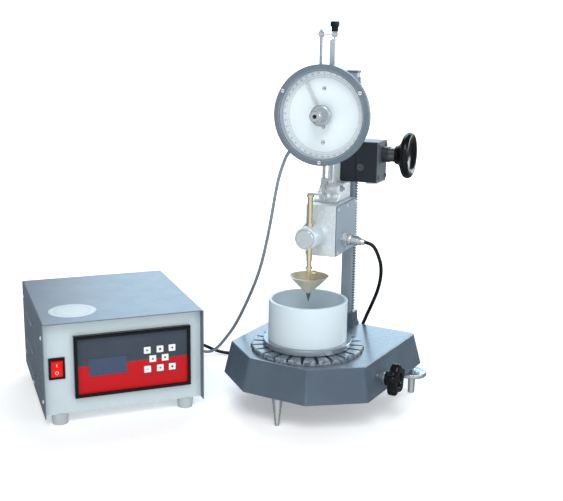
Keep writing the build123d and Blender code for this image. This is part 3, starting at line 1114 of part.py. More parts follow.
PIECES = {
    "base_casting": base_casting, "pillar_socket": pillar_socket, "pillar": pillar,
    "pillar_rack": pillar_rack, "pillar_cap": pillar_cap, "front_foot": front_foot,
    "head_plates": head_plates, "level_screw_left": level_screw_left,
    "level_screw_right": level_screw_right, "clamp_spindle": clamp_spindle,
    "clamp_knob": clamp_knob, "ring_nut": ring_nut, "specimen_table": specimen_table,
    "specimen_dish": specimen_dish, "head_sleeve": head_sleeve, "gear_case": gear_case,
    "drive_pinion": drive_pinion, "worm_shaft": worm_shaft, "handwheel": handwheel,
    "arm_casting": arm_casting, "release_block": release_block, "block_cover": block_cover,
    "solenoid": solenoid, "clutch_barrel": clutch_barrel, "barrel_bushes": barrel_bushes,
    "release_button": release_button, "button_spring": button_spring,
    "connector_socket": connector_socket, "connector_plug": connector_plug,
    "dial_housing": dial_housing, "dial_plate": dial_plate, "dial_bezel": dial_bezel,
    "head_screws": head_screws, "dial_gland": dial_gland, "pointer_arbor": pointer_arbor,
    "pointer": pointer, "zero_knob": zero_knob, "measuring_rack": measuring_rack,
    "guide_rod": guide_rod, "rod_bridge": rod_bridge, "measuring_nuts": measuring_nuts,
    "lift_knob": lift_knob, "contact_foot": contact_foot, "plunger_rod": plunger_rod,
    "penetration_cone": penetration_cone, "cone_tip": cone_tip, "cone_screw": cone_screw,
    "control_chassis": control_chassis, "control_cover": control_cover,
    "control_feet": control_feet, "panel_frame": panel_frame, "keypad_overlay": keypad_overlay,
    "display_window": display_window, "switch_housing": switch_housing,
    "switch_rocker": switch_rocker, "circuit_board": circuit_board,
    "cable_glands": cable_glands, "power_inlet": power_inlet, "dial_cable": dial_cable,
    "release_cable": release_cable,
}

os.makedirs("parts", exist_ok=True)
for name, piece in PIECES.items():
    piece.part.label = name
    export_step(piece.part, f"parts/{name}.step")
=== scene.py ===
"""Studio scene of a laboratory penetrometer with its control box."""
import logging
from collections.abc import Iterable, Sequence
from dataclasses import dataclass, replace
from enum import Enum
from math import cos, pi, radians, sin

import bmesh
import bpy
from mathutils import Matrix, Vector


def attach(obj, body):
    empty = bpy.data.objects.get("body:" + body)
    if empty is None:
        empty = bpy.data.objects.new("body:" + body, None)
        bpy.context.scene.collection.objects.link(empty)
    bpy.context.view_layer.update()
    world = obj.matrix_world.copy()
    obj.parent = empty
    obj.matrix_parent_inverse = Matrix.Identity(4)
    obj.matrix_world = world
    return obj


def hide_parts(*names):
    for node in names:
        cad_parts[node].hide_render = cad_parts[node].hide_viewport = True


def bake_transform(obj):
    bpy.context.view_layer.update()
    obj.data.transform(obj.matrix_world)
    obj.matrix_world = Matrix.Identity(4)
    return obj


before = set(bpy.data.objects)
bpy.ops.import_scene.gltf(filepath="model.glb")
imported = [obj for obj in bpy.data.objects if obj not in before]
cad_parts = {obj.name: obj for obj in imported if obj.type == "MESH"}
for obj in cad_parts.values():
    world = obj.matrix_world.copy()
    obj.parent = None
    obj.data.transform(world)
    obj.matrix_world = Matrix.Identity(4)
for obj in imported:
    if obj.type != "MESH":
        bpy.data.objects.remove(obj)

LOG = logging.getLogger("penetrometer")
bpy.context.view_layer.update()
MM = 0.001
QUARTER = radians(90)

Colour = tuple[float, float, float]
Point = tuple[float, float, float]
Span = tuple[float, float]
Profile = Sequence[tuple[float, float]]
Ring = list[bmesh.types.BMVert]
Socket = bpy.types.NodeSocket


@dataclass(frozen=True)
class Place:
    """A level working frame of one sub-assembly, in millimetres."""

    x: float
    y: float
    turn: float = 0.0

    def matrix(self) -> Matrix:
        """Millimetres of this place to metres of the part."""
        spin = Matrix.Rotation(radians(self.turn), 4, "Z")
        return Matrix.Translation((self.x * MM, self.y * MM, 0.0)) @ spin @ Matrix.Scale(MM, 4)

    def point(self, spot: Point) -> Vector:
        """A point of this place in metres of the part."""
        return self.matrix() @ Vector(spot)

    def centre(self, x: float, y: float, z: float = 0.0) -> Point:
        """A point of this place as plain numbers, for the axis of a turned finish."""
        return tuple(self.point((x, y, z)))


STAND = Place(173.66, 33.07)
BASE = Place(173.66, 33.07, -7.8)
CONTROL = Place(-154.94, -221.93, 43.4)


def upright(x: float, y: float, z: float) -> Matrix:
    """A seat whose own Z points up."""
    return Matrix.Translation((x, y, z))


def sideways(x: float, y: float, z: float) -> Matrix:
    """A seat whose own Z points to the right."""
    return Matrix.Translation((x, y, z)) @ Matrix.Rotation(QUARTER, 4, "Y")


def forward(x: float, y: float, z: float) -> Matrix:
    """A seat whose own Z points to the front and own Y up."""
    return Matrix.Translation((x, y, z)) @ Matrix.Rotation(QUARTER, 4, "X")


def section(x: float) -> Matrix:
    """A seat whose own X points to the back, own Y up and own Z to the right."""
    turn = Matrix(((0, 0, 1), (1, 0, 0), (0, 1, 0)))
    return Matrix.Translation((x, 0.0, 0.0)) @ turn.to_4x4()


class Slope(Enum):
    """How a value goes from one level to another."""

    STRAIGHT = "LINEAR"
    SOFT = "SMOOTHSTEP"


class Wiring:
    """Adds and joins the shader nodes of one tree."""

    COLUMN_WIDTH = 190
    # Sockets of a mix of colours: the two that go in and the one that comes out
    MIX_IN = (6, 7)
    MIX_OUT = 2

    def __init__(self, tree: bpy.types.NodeTree) -> None:
        """Keep the tree and start at its left edge."""
        self.tree = tree
        self.column = 0

    def node(self, kind: str, **settings: object) -> bpy.types.Node:
        """Add one node.

        Args:
            kind: the node's type name.
            settings: attributes of the node to set.

        Returns:
            The new node.
        """
        made = self.tree.nodes.new(kind)
        made.location = (self.column * self.COLUMN_WIDTH, 0)
        self.column += 1
        for name, value in settings.items():
            setattr(made, name, value)
        return made

    def feed(self, value: object, target: Socket) -> None:
        """Link a socket to its source, or set it to a constant.

        Args:
            value: a source socket or a constant.
            target: the socket that takes it.
        """
        if isinstance(value, Socket):
            self.tree.links.new(value, target)
        else:
            target.default_value = value

    def filled(self, kind: str, operation: str, values: Sequence[object]) -> bpy.types.Node:
        """Add a node that works on values.

        Args:
            kind: the node's type name.
            operation: what it does.
            values: sockets or constants for its inputs, in order.

        Returns:
            The new node.
        """
        made = self.node(kind, operation=operation)
        for value, target in zip(values, made.inputs):
            self.feed(value, target)
        return made

    def number(self, operation: str, *values: object) -> Socket:
        """The result of an operation on numbers."""
        return self.filled("ShaderNodeMath", operation, values).outputs["Value"]

    def vector(self, operation: str, *values: object) -> bpy.types.Node:
        """A node for an operation on vectors."""
        return self.filled("ShaderNodeVectorMath", operation, values)

    def product(self, mask: Socket, *others: Socket) -> Socket:
        """The product of masks.

        Args:
            mask: the first mask.
            others: those that it is multiplied by.

        Returns:
            The product's socket.
        """
        for other in others:
            mask = self.number("MULTIPLY", mask, other)
        return mask

    def ramp(self, source: Socket, span: Span, levels: Span = (0.0, 1.0),
             slope: Slope = Slope.SOFT) -> Socket:
        """A value that goes from one level to another.

        Args:
            source: what it follows.
            span: where on the source it starts and where it ends.
            levels: the value at both.
            slope: how it goes between them.

        Returns:
            The value's socket.
        """
        made = self.node("ShaderNodeMapRange", interpolation_type=slope.value)
        self.feed(source, made.inputs["Value"])
        for label, value in zip(("From Min", "From Max", "To Min", "To Max"), (*span, *levels)):
            self.feed(value, made.inputs[label])
        return made.outputs["Result"]

    def mix(self, mask: Socket, low: object, high: object) -> Socket:
        """Mix two colours by a mask.

        Args:
            mask: 0 shows low and 1 shows high.
            low: a colour or a colour socket.
            high: a colour or a colour socket.

        Returns:
            The mixed colour's socket.
        """
        made = self.node("ShaderNodeMix", data_type="RGBA")
        self.feed(mask, made.inputs["Factor"])
        for value, index in zip((low, high), self.MIX_IN):
            self.feed((*value, 1.0) if isinstance(value, tuple) else value, made.inputs[index])
        return made.outputs[self.MIX_OUT]

    def spot(self) -> Socket:
        """The place on the surface, in metres of the part at rest."""
        return self.node("ShaderNodeTexCoord").outputs["Object"]

    def normal(self) -> Socket:
        """The way that the surface faces."""
        return self.node("ShaderNodeNewGeometry").outputs["Normal"]

    def along(self, axis: str, source: Socket) -> Socket:
        """One measure of a vector.

        Args:
            axis: X, Y or Z.
            source: the vector's socket.

        Returns:
            The measure's socket.
        """
        made = self.node("ShaderNodeSeparateXYZ")
        self.feed(source, made.inputs[0])
        return made.outputs[axis]


class EffectGroup:
    """A shader node group that several finishes share."""

    made: dict[str, bpy.types.NodeTree] = {}

    def __init__(self, name: str, inputs: dict[str, object], outputs: Sequence[str]) -> None:
        """Start a group.

        Args:
            name: the group's name.
            inputs: socket names and their default values; a triple is a vector.
            outputs: names of the value sockets that it puts out.
        """
        self.tree = bpy.data.node_groups.new(name, "ShaderNodeTree")
        for label, value in inputs.items():
            kind = "NodeSocketVector" if isinstance(value, tuple) else "NodeSocketFloat"
            socket = self.tree.interface.new_socket(label, in_out="INPUT", socket_type=kind)
            socket.default_value = value
        for label in outputs:
            self.tree.interface.new_socket(label, in_out="OUTPUT", socket_type="NodeSocketFloat")
        self.wiring = Wiring(self.tree)
        self.entry = self.wiring.node("NodeGroupInput")
        self.exit = self.wiring.node("NodeGroupOutput")
        EffectGroup.made[name] = self.tree

    def take(self, label: str) -> Socket:
        """What comes in at one of the group's inputs."""
        return self.entry.outputs[label]

    def give(self, label: str, source: Socket) -> None:
        """Put a value out at one of the group's outputs."""
        self.wiring.feed(source, self.exit.inputs[label])

    def noise(self, spot: Socket, scale: object, detail: float) -> bpy.types.Node:
        """Add noise.

        Args:
            spot: the place on the surface.
            scale: a number or a socket of the group.
            detail: how fine it gets.

        Returns:
            The noise node.
        """
        made = self.wiring.node("ShaderNodeTexNoise")
        for label, value in (("Vector", spot), ("Scale", scale), ("Detail", detail)):
            self.wiring.feed(value, made.inputs[label])
        return made


@dataclass(frozen=True)
class HammerDimples:
    """Rounded dimples of hammered paint."""

    scale: float = 330.0
    bend_scale: float = 140.0
    bend_detail: float = 1.0
    bend: float = 0.002
    roundness: float = 0.7
    shade: Span = (0.25, 0.75)

    def build(self) -> None:
        """Make the group: round cells in places that a slow noise bends."""
        group = EffectGroup("HammerDimples", {"Scale": self.scale}, ["Height", "Mask"])
        wire = group.wiring
        spot = wire.spot()
        noise = group.noise(spot, self.bend_scale, self.bend_detail)
        bent = wire.vector("MULTIPLY_ADD", noise.outputs["Color"], (self.bend, self.bend, self.bend), spot)
        cells = wire.node("ShaderNodeTexVoronoi", feature="SMOOTH_F1")
        wire.feed(self.roundness, cells.inputs["Smoothness"])
        wire.feed(group.take("Scale"), cells.inputs["Scale"])
        wire.feed(bent.outputs["Vector"], cells.inputs["Vector"])
        group.give("Height", cells.outputs["Distance"])
        group.give("Mask", wire.ramp(cells.outputs["Distance"], self.shade))


@dataclass(frozen=True)
class CastGrain:
    """Sandy grain and small pits of a casting."""

    scale: float = 700.0
    detail: float = 4.0
    pit_scale: float = 260.0
    pit_edge: Span = (0.28, 0.1)
    patch_scale: float = 90.0
    patch_detail: float = 2.0
    patch_edge: Span = (0.5, 0.7)

    def build(self) -> None:
        """Make the group: pits in patches, sunk in a fine grain."""
        group = EffectGroup("CastGrain", {"Scale": self.scale}, ["Height", "Mask"])
        wire = group.wiring
        spot = wire.spot()
        grain = group.noise(spot, group.take("Scale"), self.detail)
        pits = wire.node("ShaderNodeTexVoronoi", feature="F1")
        wire.feed(self.pit_scale, pits.inputs["Scale"])
        wire.feed(spot, pits.inputs["Vector"])
        patches = group.noise(spot, self.patch_scale, self.patch_detail)
        where = wire.ramp(patches.outputs["Fac"], self.patch_edge)
        pitted = wire.product(where, wire.ramp(pits.outputs["Distance"], self.pit_edge))
        group.give("Height", wire.number("SUBTRACT", grain.outputs["Fac"], pitted))
        group.give("Mask", pitted)


@dataclass(frozen=True)
class LatheLines:
    """Fine tool lines round the axis of a turned piece."""

    scale: float = 900.0
    detail: float = 3.0
    shade: Span = (0.35, 0.7)

    def build(self) -> None:
        """Make the group: noise that changes along the axis and outward from it."""
        inputs = {"Centre": (0.0, 0.0, 0.0), "Axis": (0.0, 0.0, 1.0), "Scale": self.scale}
        group = EffectGroup("LatheLines", inputs, ["Height", "Mask"])
        wire = group.wiring
        offset = wire.vector("SUBTRACT", wire.spot(), group.take("Centre")).outputs["Vector"]
        along = wire.vector("DOT_PRODUCT", offset, group.take("Axis")).outputs["Value"]
        across = wire.vector("CROSS_PRODUCT", offset, group.take("Axis")).outputs["Vector"]
        radius = wire.vector("LENGTH", across).outputs["Value"]
        lines = wire.node("ShaderNodeTexNoise", noise_dimensions="1D")
        wire.feed(self.detail, lines.inputs["Detail"])
        wire.feed(wire.number("ADD", along, radius), lines.inputs["W"])
        wire.feed(group.take("Scale"), lines.inputs["Scale"])
        group.give("Height", lines.outputs["Fac"])
        group.give("Mask", wire.ramp(lines.outputs["Fac"], self.shade))


@dataclass(frozen=True)
class FineGrain:
    """The faint grain of moulded plastic or smooth paint."""

    scale: float = 1500.0
    detail: float = 2.0
    broad_scale: float = 26.0
    broad_detail: float = 3.0
    shade: Span = (0.3, 0.7)

    def build(self) -> None:
        """Make the group: fine noise for the height and broad noise for the mask."""
        group = EffectGroup("FineGrain", {"Scale": self.scale}, ["Height", "Mask"])
        spot = group.wiring.spot()
        fine = group.noise(spot, group.take("Scale"), self.detail)
        broad = group.noise(spot, self.broad_scale, self.broad_detail)
        group.give("Height", fine.outputs["Fac"])
        group.give("Mask", group.wiring.ramp(broad.outputs["Fac"], self.shade))


@dataclass(frozen=True)
class ToneDrift:
    """Slow drift of a surface from one tone to another."""

    scale: float = 14.0
    detail: float = 4.0
    shade: Span = (0.3, 0.7)

    def build(self) -> None:
        """Make the group: broad clouds."""
        group = EffectGroup("ToneDrift", {"Scale": self.scale}, ["Mask"])
        cloud = group.noise(group.wiring.spot(), group.take("Scale"), self.detail)
        group.give("Mask", group.wiring.ramp(cloud.outputs["Fac"], self.shade))


@dataclass(frozen=True)
class EdgeWear:
    """Lighter proud edges: rubbed wear, and on the ring nut a painted highlight."""

    amount: float = 0.4
    proud: Span = (0.52, 0.62)
    patch_scale: float = 320.0
    patch_detail: float = 3.0
    patch_edge: Span = (0.35, 0.65)

    def build(self) -> None:
        """Make the group: proud edges, in patches."""
        group = EffectGroup("EdgeWear", {"Amount": self.amount}, ["Mask"])
        wire = group.wiring
        proud = wire.ramp(wire.node("ShaderNodeNewGeometry").outputs["Pointiness"], self.proud)
        patches = group.noise(wire.spot(), self.patch_scale, self.patch_detail)
        patch = wire.ramp(patches.outputs["Fac"], self.patch_edge)
        group.give("Mask", wire.product(proud, patch, group.take("Amount")))


@dataclass(frozen=True)
class Dust:
    """A thin veil of dust on faces that look up."""

    amount: float = 0.1
    level: Span = (0.3, 0.95)
    patch_scale: float = 60.0
    patch_detail: float = 5.0
    patch_edge: Span = (0.35, 0.75)

    def build(self) -> None:
        """Make the group: level faces, in patches."""
        group = EffectGroup("Dust", {"Amount": self.amount}, ["Mask"])
        wire = group.wiring
        level = wire.ramp(wire.along("Z", wire.normal()), self.level)
        patches = group.noise(wire.spot(), self.patch_scale, self.patch_detail)
        patch = wire.ramp(patches.outputs["Fac"], self.patch_edge)
        group.give("Mask", wire.product(level, patch, group.take("Amount")))


@dataclass(frozen=True)
class TopSheen:
    """Faces that look up, which are rubbed glossy."""

    amount: float = 0.5
    level: Span = (0.45, 0.9)

    def build(self) -> None:
        """Make the group: level faces."""
        group = EffectGroup("TopSheen", {"Amount": self.amount}, ["Mask"])
        wire = group.wiring
        level = wire.ramp(wire.along("Z", wire.normal()), self.level)
        group.give("Mask", wire.product(level, group.take("Amount")))


EFFECTS = (HammerDimples(), CastGrain(), LatheLines(), FineGrain(), ToneDrift(), EdgeWear(), Dust(),
           TopSheen())


class KeySign(Enum):
    """The plain sign printed on a key, as its corner points."""

    RUN: Profile = ((-1.5, -2.1), (2.1, 0.0), (-1.5, 2.1))
    STOP: Profile = ((-1.7, -1.7), (1.7, -1.7), (1.7, 1.7), (-1.7, 1.7))
    BACK: Profile = ((1.5, 2.1), (-2.1, 0.0), (1.5, -2.1))
    UP: Profile = ((-2.1, -1.5), (2.1, -1.5), (0.0, 2.1))
    DOWN: Profile = ((2.1, 1.5), (-2.1, 1.5), (0.0, -2.1))
    LESS: Profile = ((-2.2, -0.4), (2.2, -0.4), (2.2, 0.4), (-2.2, 0.4))
    MORE: Profile = ((-0.4, -2.2), (0.4, -2.2), (0.4, -0.4), (2.2, -0.4), (2.2, 0.4), (0.4, 0.4), (0.4, 2.2),
                     (-0.4, 2.2), (-0.4, 0.4), (-2.2, 0.4), (-2.2, -0.4), (-0.4, -0.4))
    SET: Profile = ((0.0, -2.2), (2.2, 0.0), (0.0, 2.2), (-2.2, 0.0))


class Grain(Enum):
    """The small relief of a surface, by the group that makes it."""

    HAMMER = "HammerDimples"
    CAST = "CastGrain"
    LATHE = "LatheLines"
    FINE = "FineGrain"


@dataclass(frozen=True)
class Finish:
    """How one kind of surface looks and which slot of the record it belongs to."""

    name: str
    slot: str
    colour: Colour
    tone: Colour
    rough: Span
    metal: float = 0.0
    grain: Grain = Grain.FINE
    scale: float = 1500.0
    relief: float = 0.05
    bump: float = 0.6
    worn: Colour = (0.6, 0.6, 0.6)
    wear: float = 0.0
    dust: float = 0.04
    dust_colour: Colour = (0.75, 0.76, 0.77)
    coat: float = 0.0
    coat_rough: float = 0.1
    sheen: float = 0.0
    sheen_rough: float = 0.22
    sheen_index: float = 1.75
    specular: float = 0.5
    centre: Point = (0.0, 0.0, 0.0)
    axis: Point = (0.0, 0.0, 1.0)

    def material(self) -> bpy.types.Material:
        """The finish as a material, made on first use.

        Returns:
            The material.
        """
        known = bpy.data.materials.get(self.name)
        if known:
            return known
        made = bpy.data.materials.new(self.name)
        made.use_nodes = True
        wire = Wiring(made.node_tree)
        shader = made.node_tree.nodes["Principled BSDF"]
        shader.inputs["Metallic"].default_value = self.metal
        shader.inputs["Specular IOR Level"].default_value = self.specular
        shader.inputs["Coat Weight"].default_value = self.coat
        shader.inputs["Coat Roughness"].default_value = self.coat_rough
        if self.sheen > 0:
            polish = self.effect(wire, "TopSheen", Amount=self.sheen)
            wire.feed(polish.outputs["Mask"], shader.inputs["Coat Weight"])
            shader.inputs["Coat Roughness"].default_value = self.sheen_rough
            shader.inputs["Coat IOR"].default_value = self.sheen_index
        relief = self.effect(wire, self.grain.value, Scale=self.scale)
        if self.grain is Grain.LATHE:
            relief.inputs["Centre"].default_value = self.centre
            relief.inputs["Axis"].default_value = self.axis
        wire.feed(self.colours(wire, relief), shader.inputs["Base Color"])
        rough = wire.ramp(relief.outputs["Mask"], (0.0, 1.0), self.rough, Slope.STRAIGHT)
        wire.feed(rough, shader.inputs["Roughness"])
        bump = wire.node("ShaderNodeBump")
        bump.inputs["Strength"].default_value = self.bump
        bump.inputs["Distance"].default_value = self.relief * MM
        wire.feed(relief.outputs["Height"], bump.inputs["Height"])
        wire.feed(bump.outputs["Normal"], shader.inputs["Normal"])
        return made

    def colours(self, wire: Wiring, relief: bpy.types.Node) -> Socket:
        """Tone drift, lighter proud edges (wear, and on the ring nut painted highlights) and dust over the
        base colour.

        Args:
            wire: the material's wiring.
            relief: the group that gives the small relief.

        Returns:
            The colour socket.
        """
        base = wire.mix(self.effect(wire, "ToneDrift").outputs["Mask"], self.colour, self.tone)
        if self.wear > 0:
            edge_marks = self.effect(wire, "EdgeWear", Amount=self.wear)
            base = wire.mix(edge_marks.outputs["Mask"], base, self.worn)
        if self.dust > 0:
            veil = self.effect(wire, "Dust", Amount=self.dust)
            base = wire.mix(veil.outputs["Mask"], base, self.dust_colour)
        return base

    def effect(self, wire: Wiring, name: str, **settings: float) -> bpy.types.Node:
        """Place one effect group in a material.

        Args:
            wire: the material's wiring.
            name: the group's name.
            settings: values of the group's inputs.

        Returns:
            The group's node.
        """
        made = wire.node("ShaderNodeGroup", node_tree=EffectGroup.made[name])
        for label, value in settings.items():
            made.inputs[label].default_value = value
        return made


@dataclass(frozen=True)
class KeypadFilm(Finish):
    """Printed film of the keypad: slate above and red below a level edge."""

    edge: float = 0.0926
    soft: float = 0.0022
    lower: Colour = (0.5, 0.005, 0.009)

    def colours(self, wire: Wiring, relief: bpy.types.Node) -> Socket:
        """The two printed fields.

        Args:
            wire: the material's wiring.
            relief: the group that gives the small relief.

        Returns:
            The colour socket.
        """
        above = wire.ramp(wire.along("Z", wire.spot()), (self.edge - self.soft, self.edge + self.soft))
        upper = wire.mix(relief.outputs["Mask"], self.colour, self.tone)
        return wire.mix(above, self.lower, upper)


@dataclass(frozen=True)
class RackSteel(Finish):
    """Steel of the rack: bright tips, with painted shade on the flanks and roots in the gaps between the
    teeth.
    """

    tip: float = 0.0
    oil_depth: Span = (0.0006, 0.0016)
    toothed: Span = (0.1, 0.3)
    oiled: Colour = (0.022, 0.025, 0.03)

    def colours(self, wire: Wiring, relief: bpy.types.Node) -> Socket:
        """Painted shade on the flanks and roots, under bright tips.

        Args:
            wire: the material's wiring.
            relief: the group that gives the small relief.

        Returns:
            The colour socket.
        """
        # Painted shade: darker deep in the tooth gaps, on faces that look to the right
        start, full = self.oil_depth
        gap = wire.ramp(wire.along("X", wire.spot()), (self.tip - start, self.tip - full))
        teeth = wire.ramp(wire.along("X", wire.normal()), self.toothed)
        bare = wire.mix(relief.outputs["Mask"], self.colour, self.tone)
        return wire.mix(wire.product(gap, teeth), bare, self.oiled)


@dataclass(frozen=True)
class ScrewHeads(Finish):
    """Bare screw heads; those on the gear case are painted with it."""

    case_corner: Span = (0.0, 0.0)
    soft: float = 0.001
    painted: Colour = (0.085, 0.105, 0.128)

    def colours(self, wire: Wiring, relief: bpy.types.Node) -> Socket:
        """Bare metal, or paint on the side of the gear case.

        Args:
            wire: the material's wiring.
            relief: the group that gives the small relief.

        Returns:
            The colour socket.
        """
        spot = wire.spot()
        past = []
        for axis, corner in zip("XY", self.case_corner):
            past.append(wire.ramp(wire.along(axis, spot), (corner - self.soft, corner)))
        bare = wire.mix(relief.outputs["Mask"], self.colour, self.tone)
        return wire.mix(wire.product(*past), bare, self.painted)


PLUNGER_AXIS = STAND.centre(0.0, 0.0)
DIAL_AXIS = STAND.centre(23.5, 0.0, 477.6)
WORM_AXIS = STAND.centre(0.0, 144.0, 406.0)
TO_BACK = (0.0, 1.0, 0.0)
TO_RIGHT = (1.0, 0.0, 0.0)

HAMMER = Finish("Slate hammer paint", "hammer_paint", (0.066, 0.096, 0.132), (0.08, 0.114, 0.154),
                (0.38, 0.5), grain=Grain.HAMMER, scale=330.0, relief=0.14, worn=(0.2, 0.25, 0.3), wear=0.3,
                dust=0.02, sheen=1.0, specular=0.4)
COVER = Finish("Box cover paint", "cover_paint", (0.116, 0.154, 0.198), (0.126, 0.166, 0.211), (0.42, 0.5),
               relief=0.01, dust=0.02, sheen=0.72, specular=0.2)
BLOCK_PAINT = Finish("Block cover paint", "cover_paint", (0.235, 0.295, 0.35), (0.255, 0.316, 0.372),
                     (0.5, 0.6), relief=0.02, specular=0.3)
PANEL = Finish("Box panel paint", "panel_paint", (0.51, 0.6, 0.635), (0.535, 0.625, 0.66), (0.42, 0.52),
               relief=0.02)
CAST = Finish("Cast aluminium", "cast_alloy", (0.54, 0.61, 0.65), (0.63, 0.695, 0.73), (0.36, 0.54),
              metal=0.3, grain=Grain.CAST, scale=650.0, relief=0.2, worn=(0.82, 0.85, 0.87), wear=0.4)
STEEL = Finish("Machined steel", "machined_steel", (0.3, 0.355, 0.4), (0.37, 0.425, 0.47), (0.22, 0.3),
               metal=0.7, grain=Grain.LATHE, scale=600.0, relief=0.003, centre=PLUNGER_AXIS, wear=0.1)
LEVEL_STEEL = replace(STEEL, name="Turned screws", colour=(0.5, 0.54, 0.565), tone=(0.56, 0.6, 0.625),
                      grain=Grain.FINE, scale=300.0, metal=0.8)
FOOT_STEEL = replace(LEVEL_STEEL, name="Turned foot", colour=(0.56, 0.6, 0.625),
                     tone=(0.6, 0.64, 0.665))
BAR = Finish("Drawn steel bar", "machined_steel", (0.27, 0.315, 0.355), (0.33, 0.375, 0.415), (0.24, 0.34),
             metal=0.4, relief=0.008, scale=900.0, wear=0.3, worn=(0.6, 0.63, 0.65))
STRIP = Finish("Plated strip", "chrome", (0.36, 0.41, 0.455), (0.42, 0.47, 0.515), (0.26, 0.36), metal=0.4,
               relief=0.006, scale=900.0)
PILLAR = Finish("Pillar steel", "machined_steel", (0.26, 0.315, 0.37), (0.315, 0.375, 0.43), (0.3, 0.42),
                metal=0.4, relief=0.01, scale=500.0)
RACK = RackSteel("Rack steel", "gear_steel", (0.34, 0.385, 0.425), (0.42, 0.465, 0.5), (0.3, 0.4),
                 metal=0.3, relief=0.008, scale=700.0, tip=STAND.centre(34.0, 0.0)[0])
HEAD = Finish("Head enamel", "head_paint", (0.085, 0.107, 0.132), (0.096, 0.12, 0.146), (0.38, 0.48),
              relief=0.01, scale=900.0, dust=0.02, sheen=0.2, specular=0.35)
BLACKED = Finish("Blackened plate", "plate_black", (0.012, 0.017, 0.024), (0.015, 0.02, 0.028),
                 (0.42, 0.52), relief=0.004, scale=900.0, dust=0.0, specular=0.3)
BOSS_BLACK = Finish("Turned boss", "plate_black", (0.03, 0.035, 0.042), (0.045, 0.051, 0.06), (0.24, 0.36),
                    metal=0.4, grain=Grain.LATHE, scale=420.0, relief=0.02, centre=WORM_AXIS, axis=TO_RIGHT,
                    dust=0.0)
PINION = Finish("Pinion end", "gear_steel", (0.07, 0.074, 0.08), (0.1, 0.104, 0.11), (0.3, 0.42), metal=0.6,
                relief=0.01, scale=700.0, dust=0.0)
SCREW = ScrewHeads("Screw heads", "chrome", (0.58, 0.6, 0.61), (0.66, 0.68, 0.69), (0.26, 0.38), metal=0.25,
                   relief=0.006, dust=0.0, case_corner=STAND.centre(76.0, 100.0)[:2])
# A paler copy of the bezel paint: painted highlight on the bezel's inner chamfer
LIP_HIGHLIGHT = Finish("Bezel lip painted highlight", "hammer_paint", (0.3, 0.35, 0.4), (0.36, 0.41, 0.46), (0.3, 0.4), metal=0.1,
             grain=Grain.LATHE, scale=700.0, relief=0.008, centre=DIAL_AXIS, axis=TO_BACK)
DIAL_WHITE = Finish("Dial face", "dial_white", (0.67, 0.75, 0.79), (0.69, 0.765, 0.805), (0.36, 0.42),
                    relief=0.004, dust=0.0)
# Dark print; the same finish also paints the shade round and in the dial's screw heads
PRINT_AND_SHADE = Finish("Dial print and painted shade", "pointer_grey", (0.02, 0.023, 0.028), (0.03, 0.034, 0.04), (0.5, 0.6),
               relief=0.01, dust=0.0)
SCALE_PRINT = Finish("Scale print", "pointer_grey", (0.4, 0.385, 0.385), (0.46, 0.445, 0.44), (0.5, 0.6),
                     relief=0.01, dust=0.0)
NEEDLE = Finish("Pointer lacquer", "pointer_grey", (0.5, 0.5, 0.5), (0.56, 0.56, 0.56), (0.32, 0.42),
                metal=0.2, relief=0.006)
TURNED_FRONT = Finish("Turned aluminium", "bright_alloy", (0.46, 0.51, 0.54), (0.48, 0.53, 0.56),
                      (0.22, 0.26), metal=0.7, relief=0.002, scale=700.0, dust=0.0)
SLEEVE = Finish("Sleeve steel", "machined_steel", (0.12, 0.128, 0.138), (0.16, 0.168, 0.178), (0.2, 0.3),
                metal=0.9, grain=Grain.LATHE, scale=420.0, relief=0.01, centre=WORM_AXIS, axis=TO_RIGHT,
                dust=0.0)
BEZEL = replace(HAMMER, name="Bezel enamel", colour=(0.1, 0.135, 0.172), tone=(0.116, 0.152, 0.19),
                rough=(0.38, 0.46), relief=0.03, scale=700.0, wear=0.2, sheen=0.3)
BARREL = Finish("Turned barrel", "cast_alloy", (0.54, 0.59, 0.62), (0.58, 0.63, 0.66), (0.22, 0.3),
                metal=0.6, relief=0.002, scale=900.0)
CHROME = Finish("Bright plating", "chrome", (0.58, 0.61, 0.635), (0.66, 0.685, 0.7), (0.12, 0.2),
                metal=0.85, relief=0.006, dust=0.0)
GLOSS = Finish("Black moulding", "black_gloss", (0.003, 0.004, 0.005), (0.005, 0.006, 0.008), (0.12, 0.2),
               relief=0.004, scale=400.0, dust=0.0, specular=0.2)
# Black plastic; on the zero knob's bore screw it is painted shade of the bore
MATTE = Finish("Black plastic and painted shade", "black_matte", (0.012, 0.013, 0.015), (0.018, 0.019, 0.022), (0.4, 0.55),
               relief=0.03, scale=900.0, worn=(0.06, 0.06, 0.06), wear=0.2)
BRASS = Finish("Turned brass", "brass", (0.8, 0.71, 0.47), (0.86, 0.78, 0.55), (0.14, 0.22), metal=0.95,
               grain=Grain.LATHE, scale=700.0, relief=0.003, centre=PLUNGER_AXIS, worn=(0.9, 0.82, 0.6),
               wear=0.3)
CONE = Finish("Cone brass", "brass", (0.8, 0.695, 0.505), (0.86, 0.755, 0.565), (0.26, 0.38), metal=0.85,
              grain=Grain.LATHE, scale=800.0, relief=0.006, centre=PLUNGER_AXIS, worn=(0.9, 0.82, 0.65),
              wear=0.4)
TIP = Finish("Hardened tip", "gear_steel", (0.2, 0.2, 0.2), (0.27, 0.265, 0.26), (0.24, 0.36), metal=0.9,
             grain=Grain.LATHE, scale=1300.0, relief=0.01, centre=PLUNGER_AXIS)
DISH = Finish("White dish", "dish_white", (0.585, 0.68, 0.735), (0.61, 0.705, 0.76), (0.34, 0.42),
              relief=0.004, grain=Grain.LATHE, scale=300.0, centre=PLUNGER_AXIS, dust=0.0, coat=0.1)
KEYPAD = KeypadFilm("Keypad film", "keypad_red", (0.042, 0.056, 0.077), (0.05, 0.066, 0.088), (0.4, 0.48),
                    relief=0.006, specular=0.18)
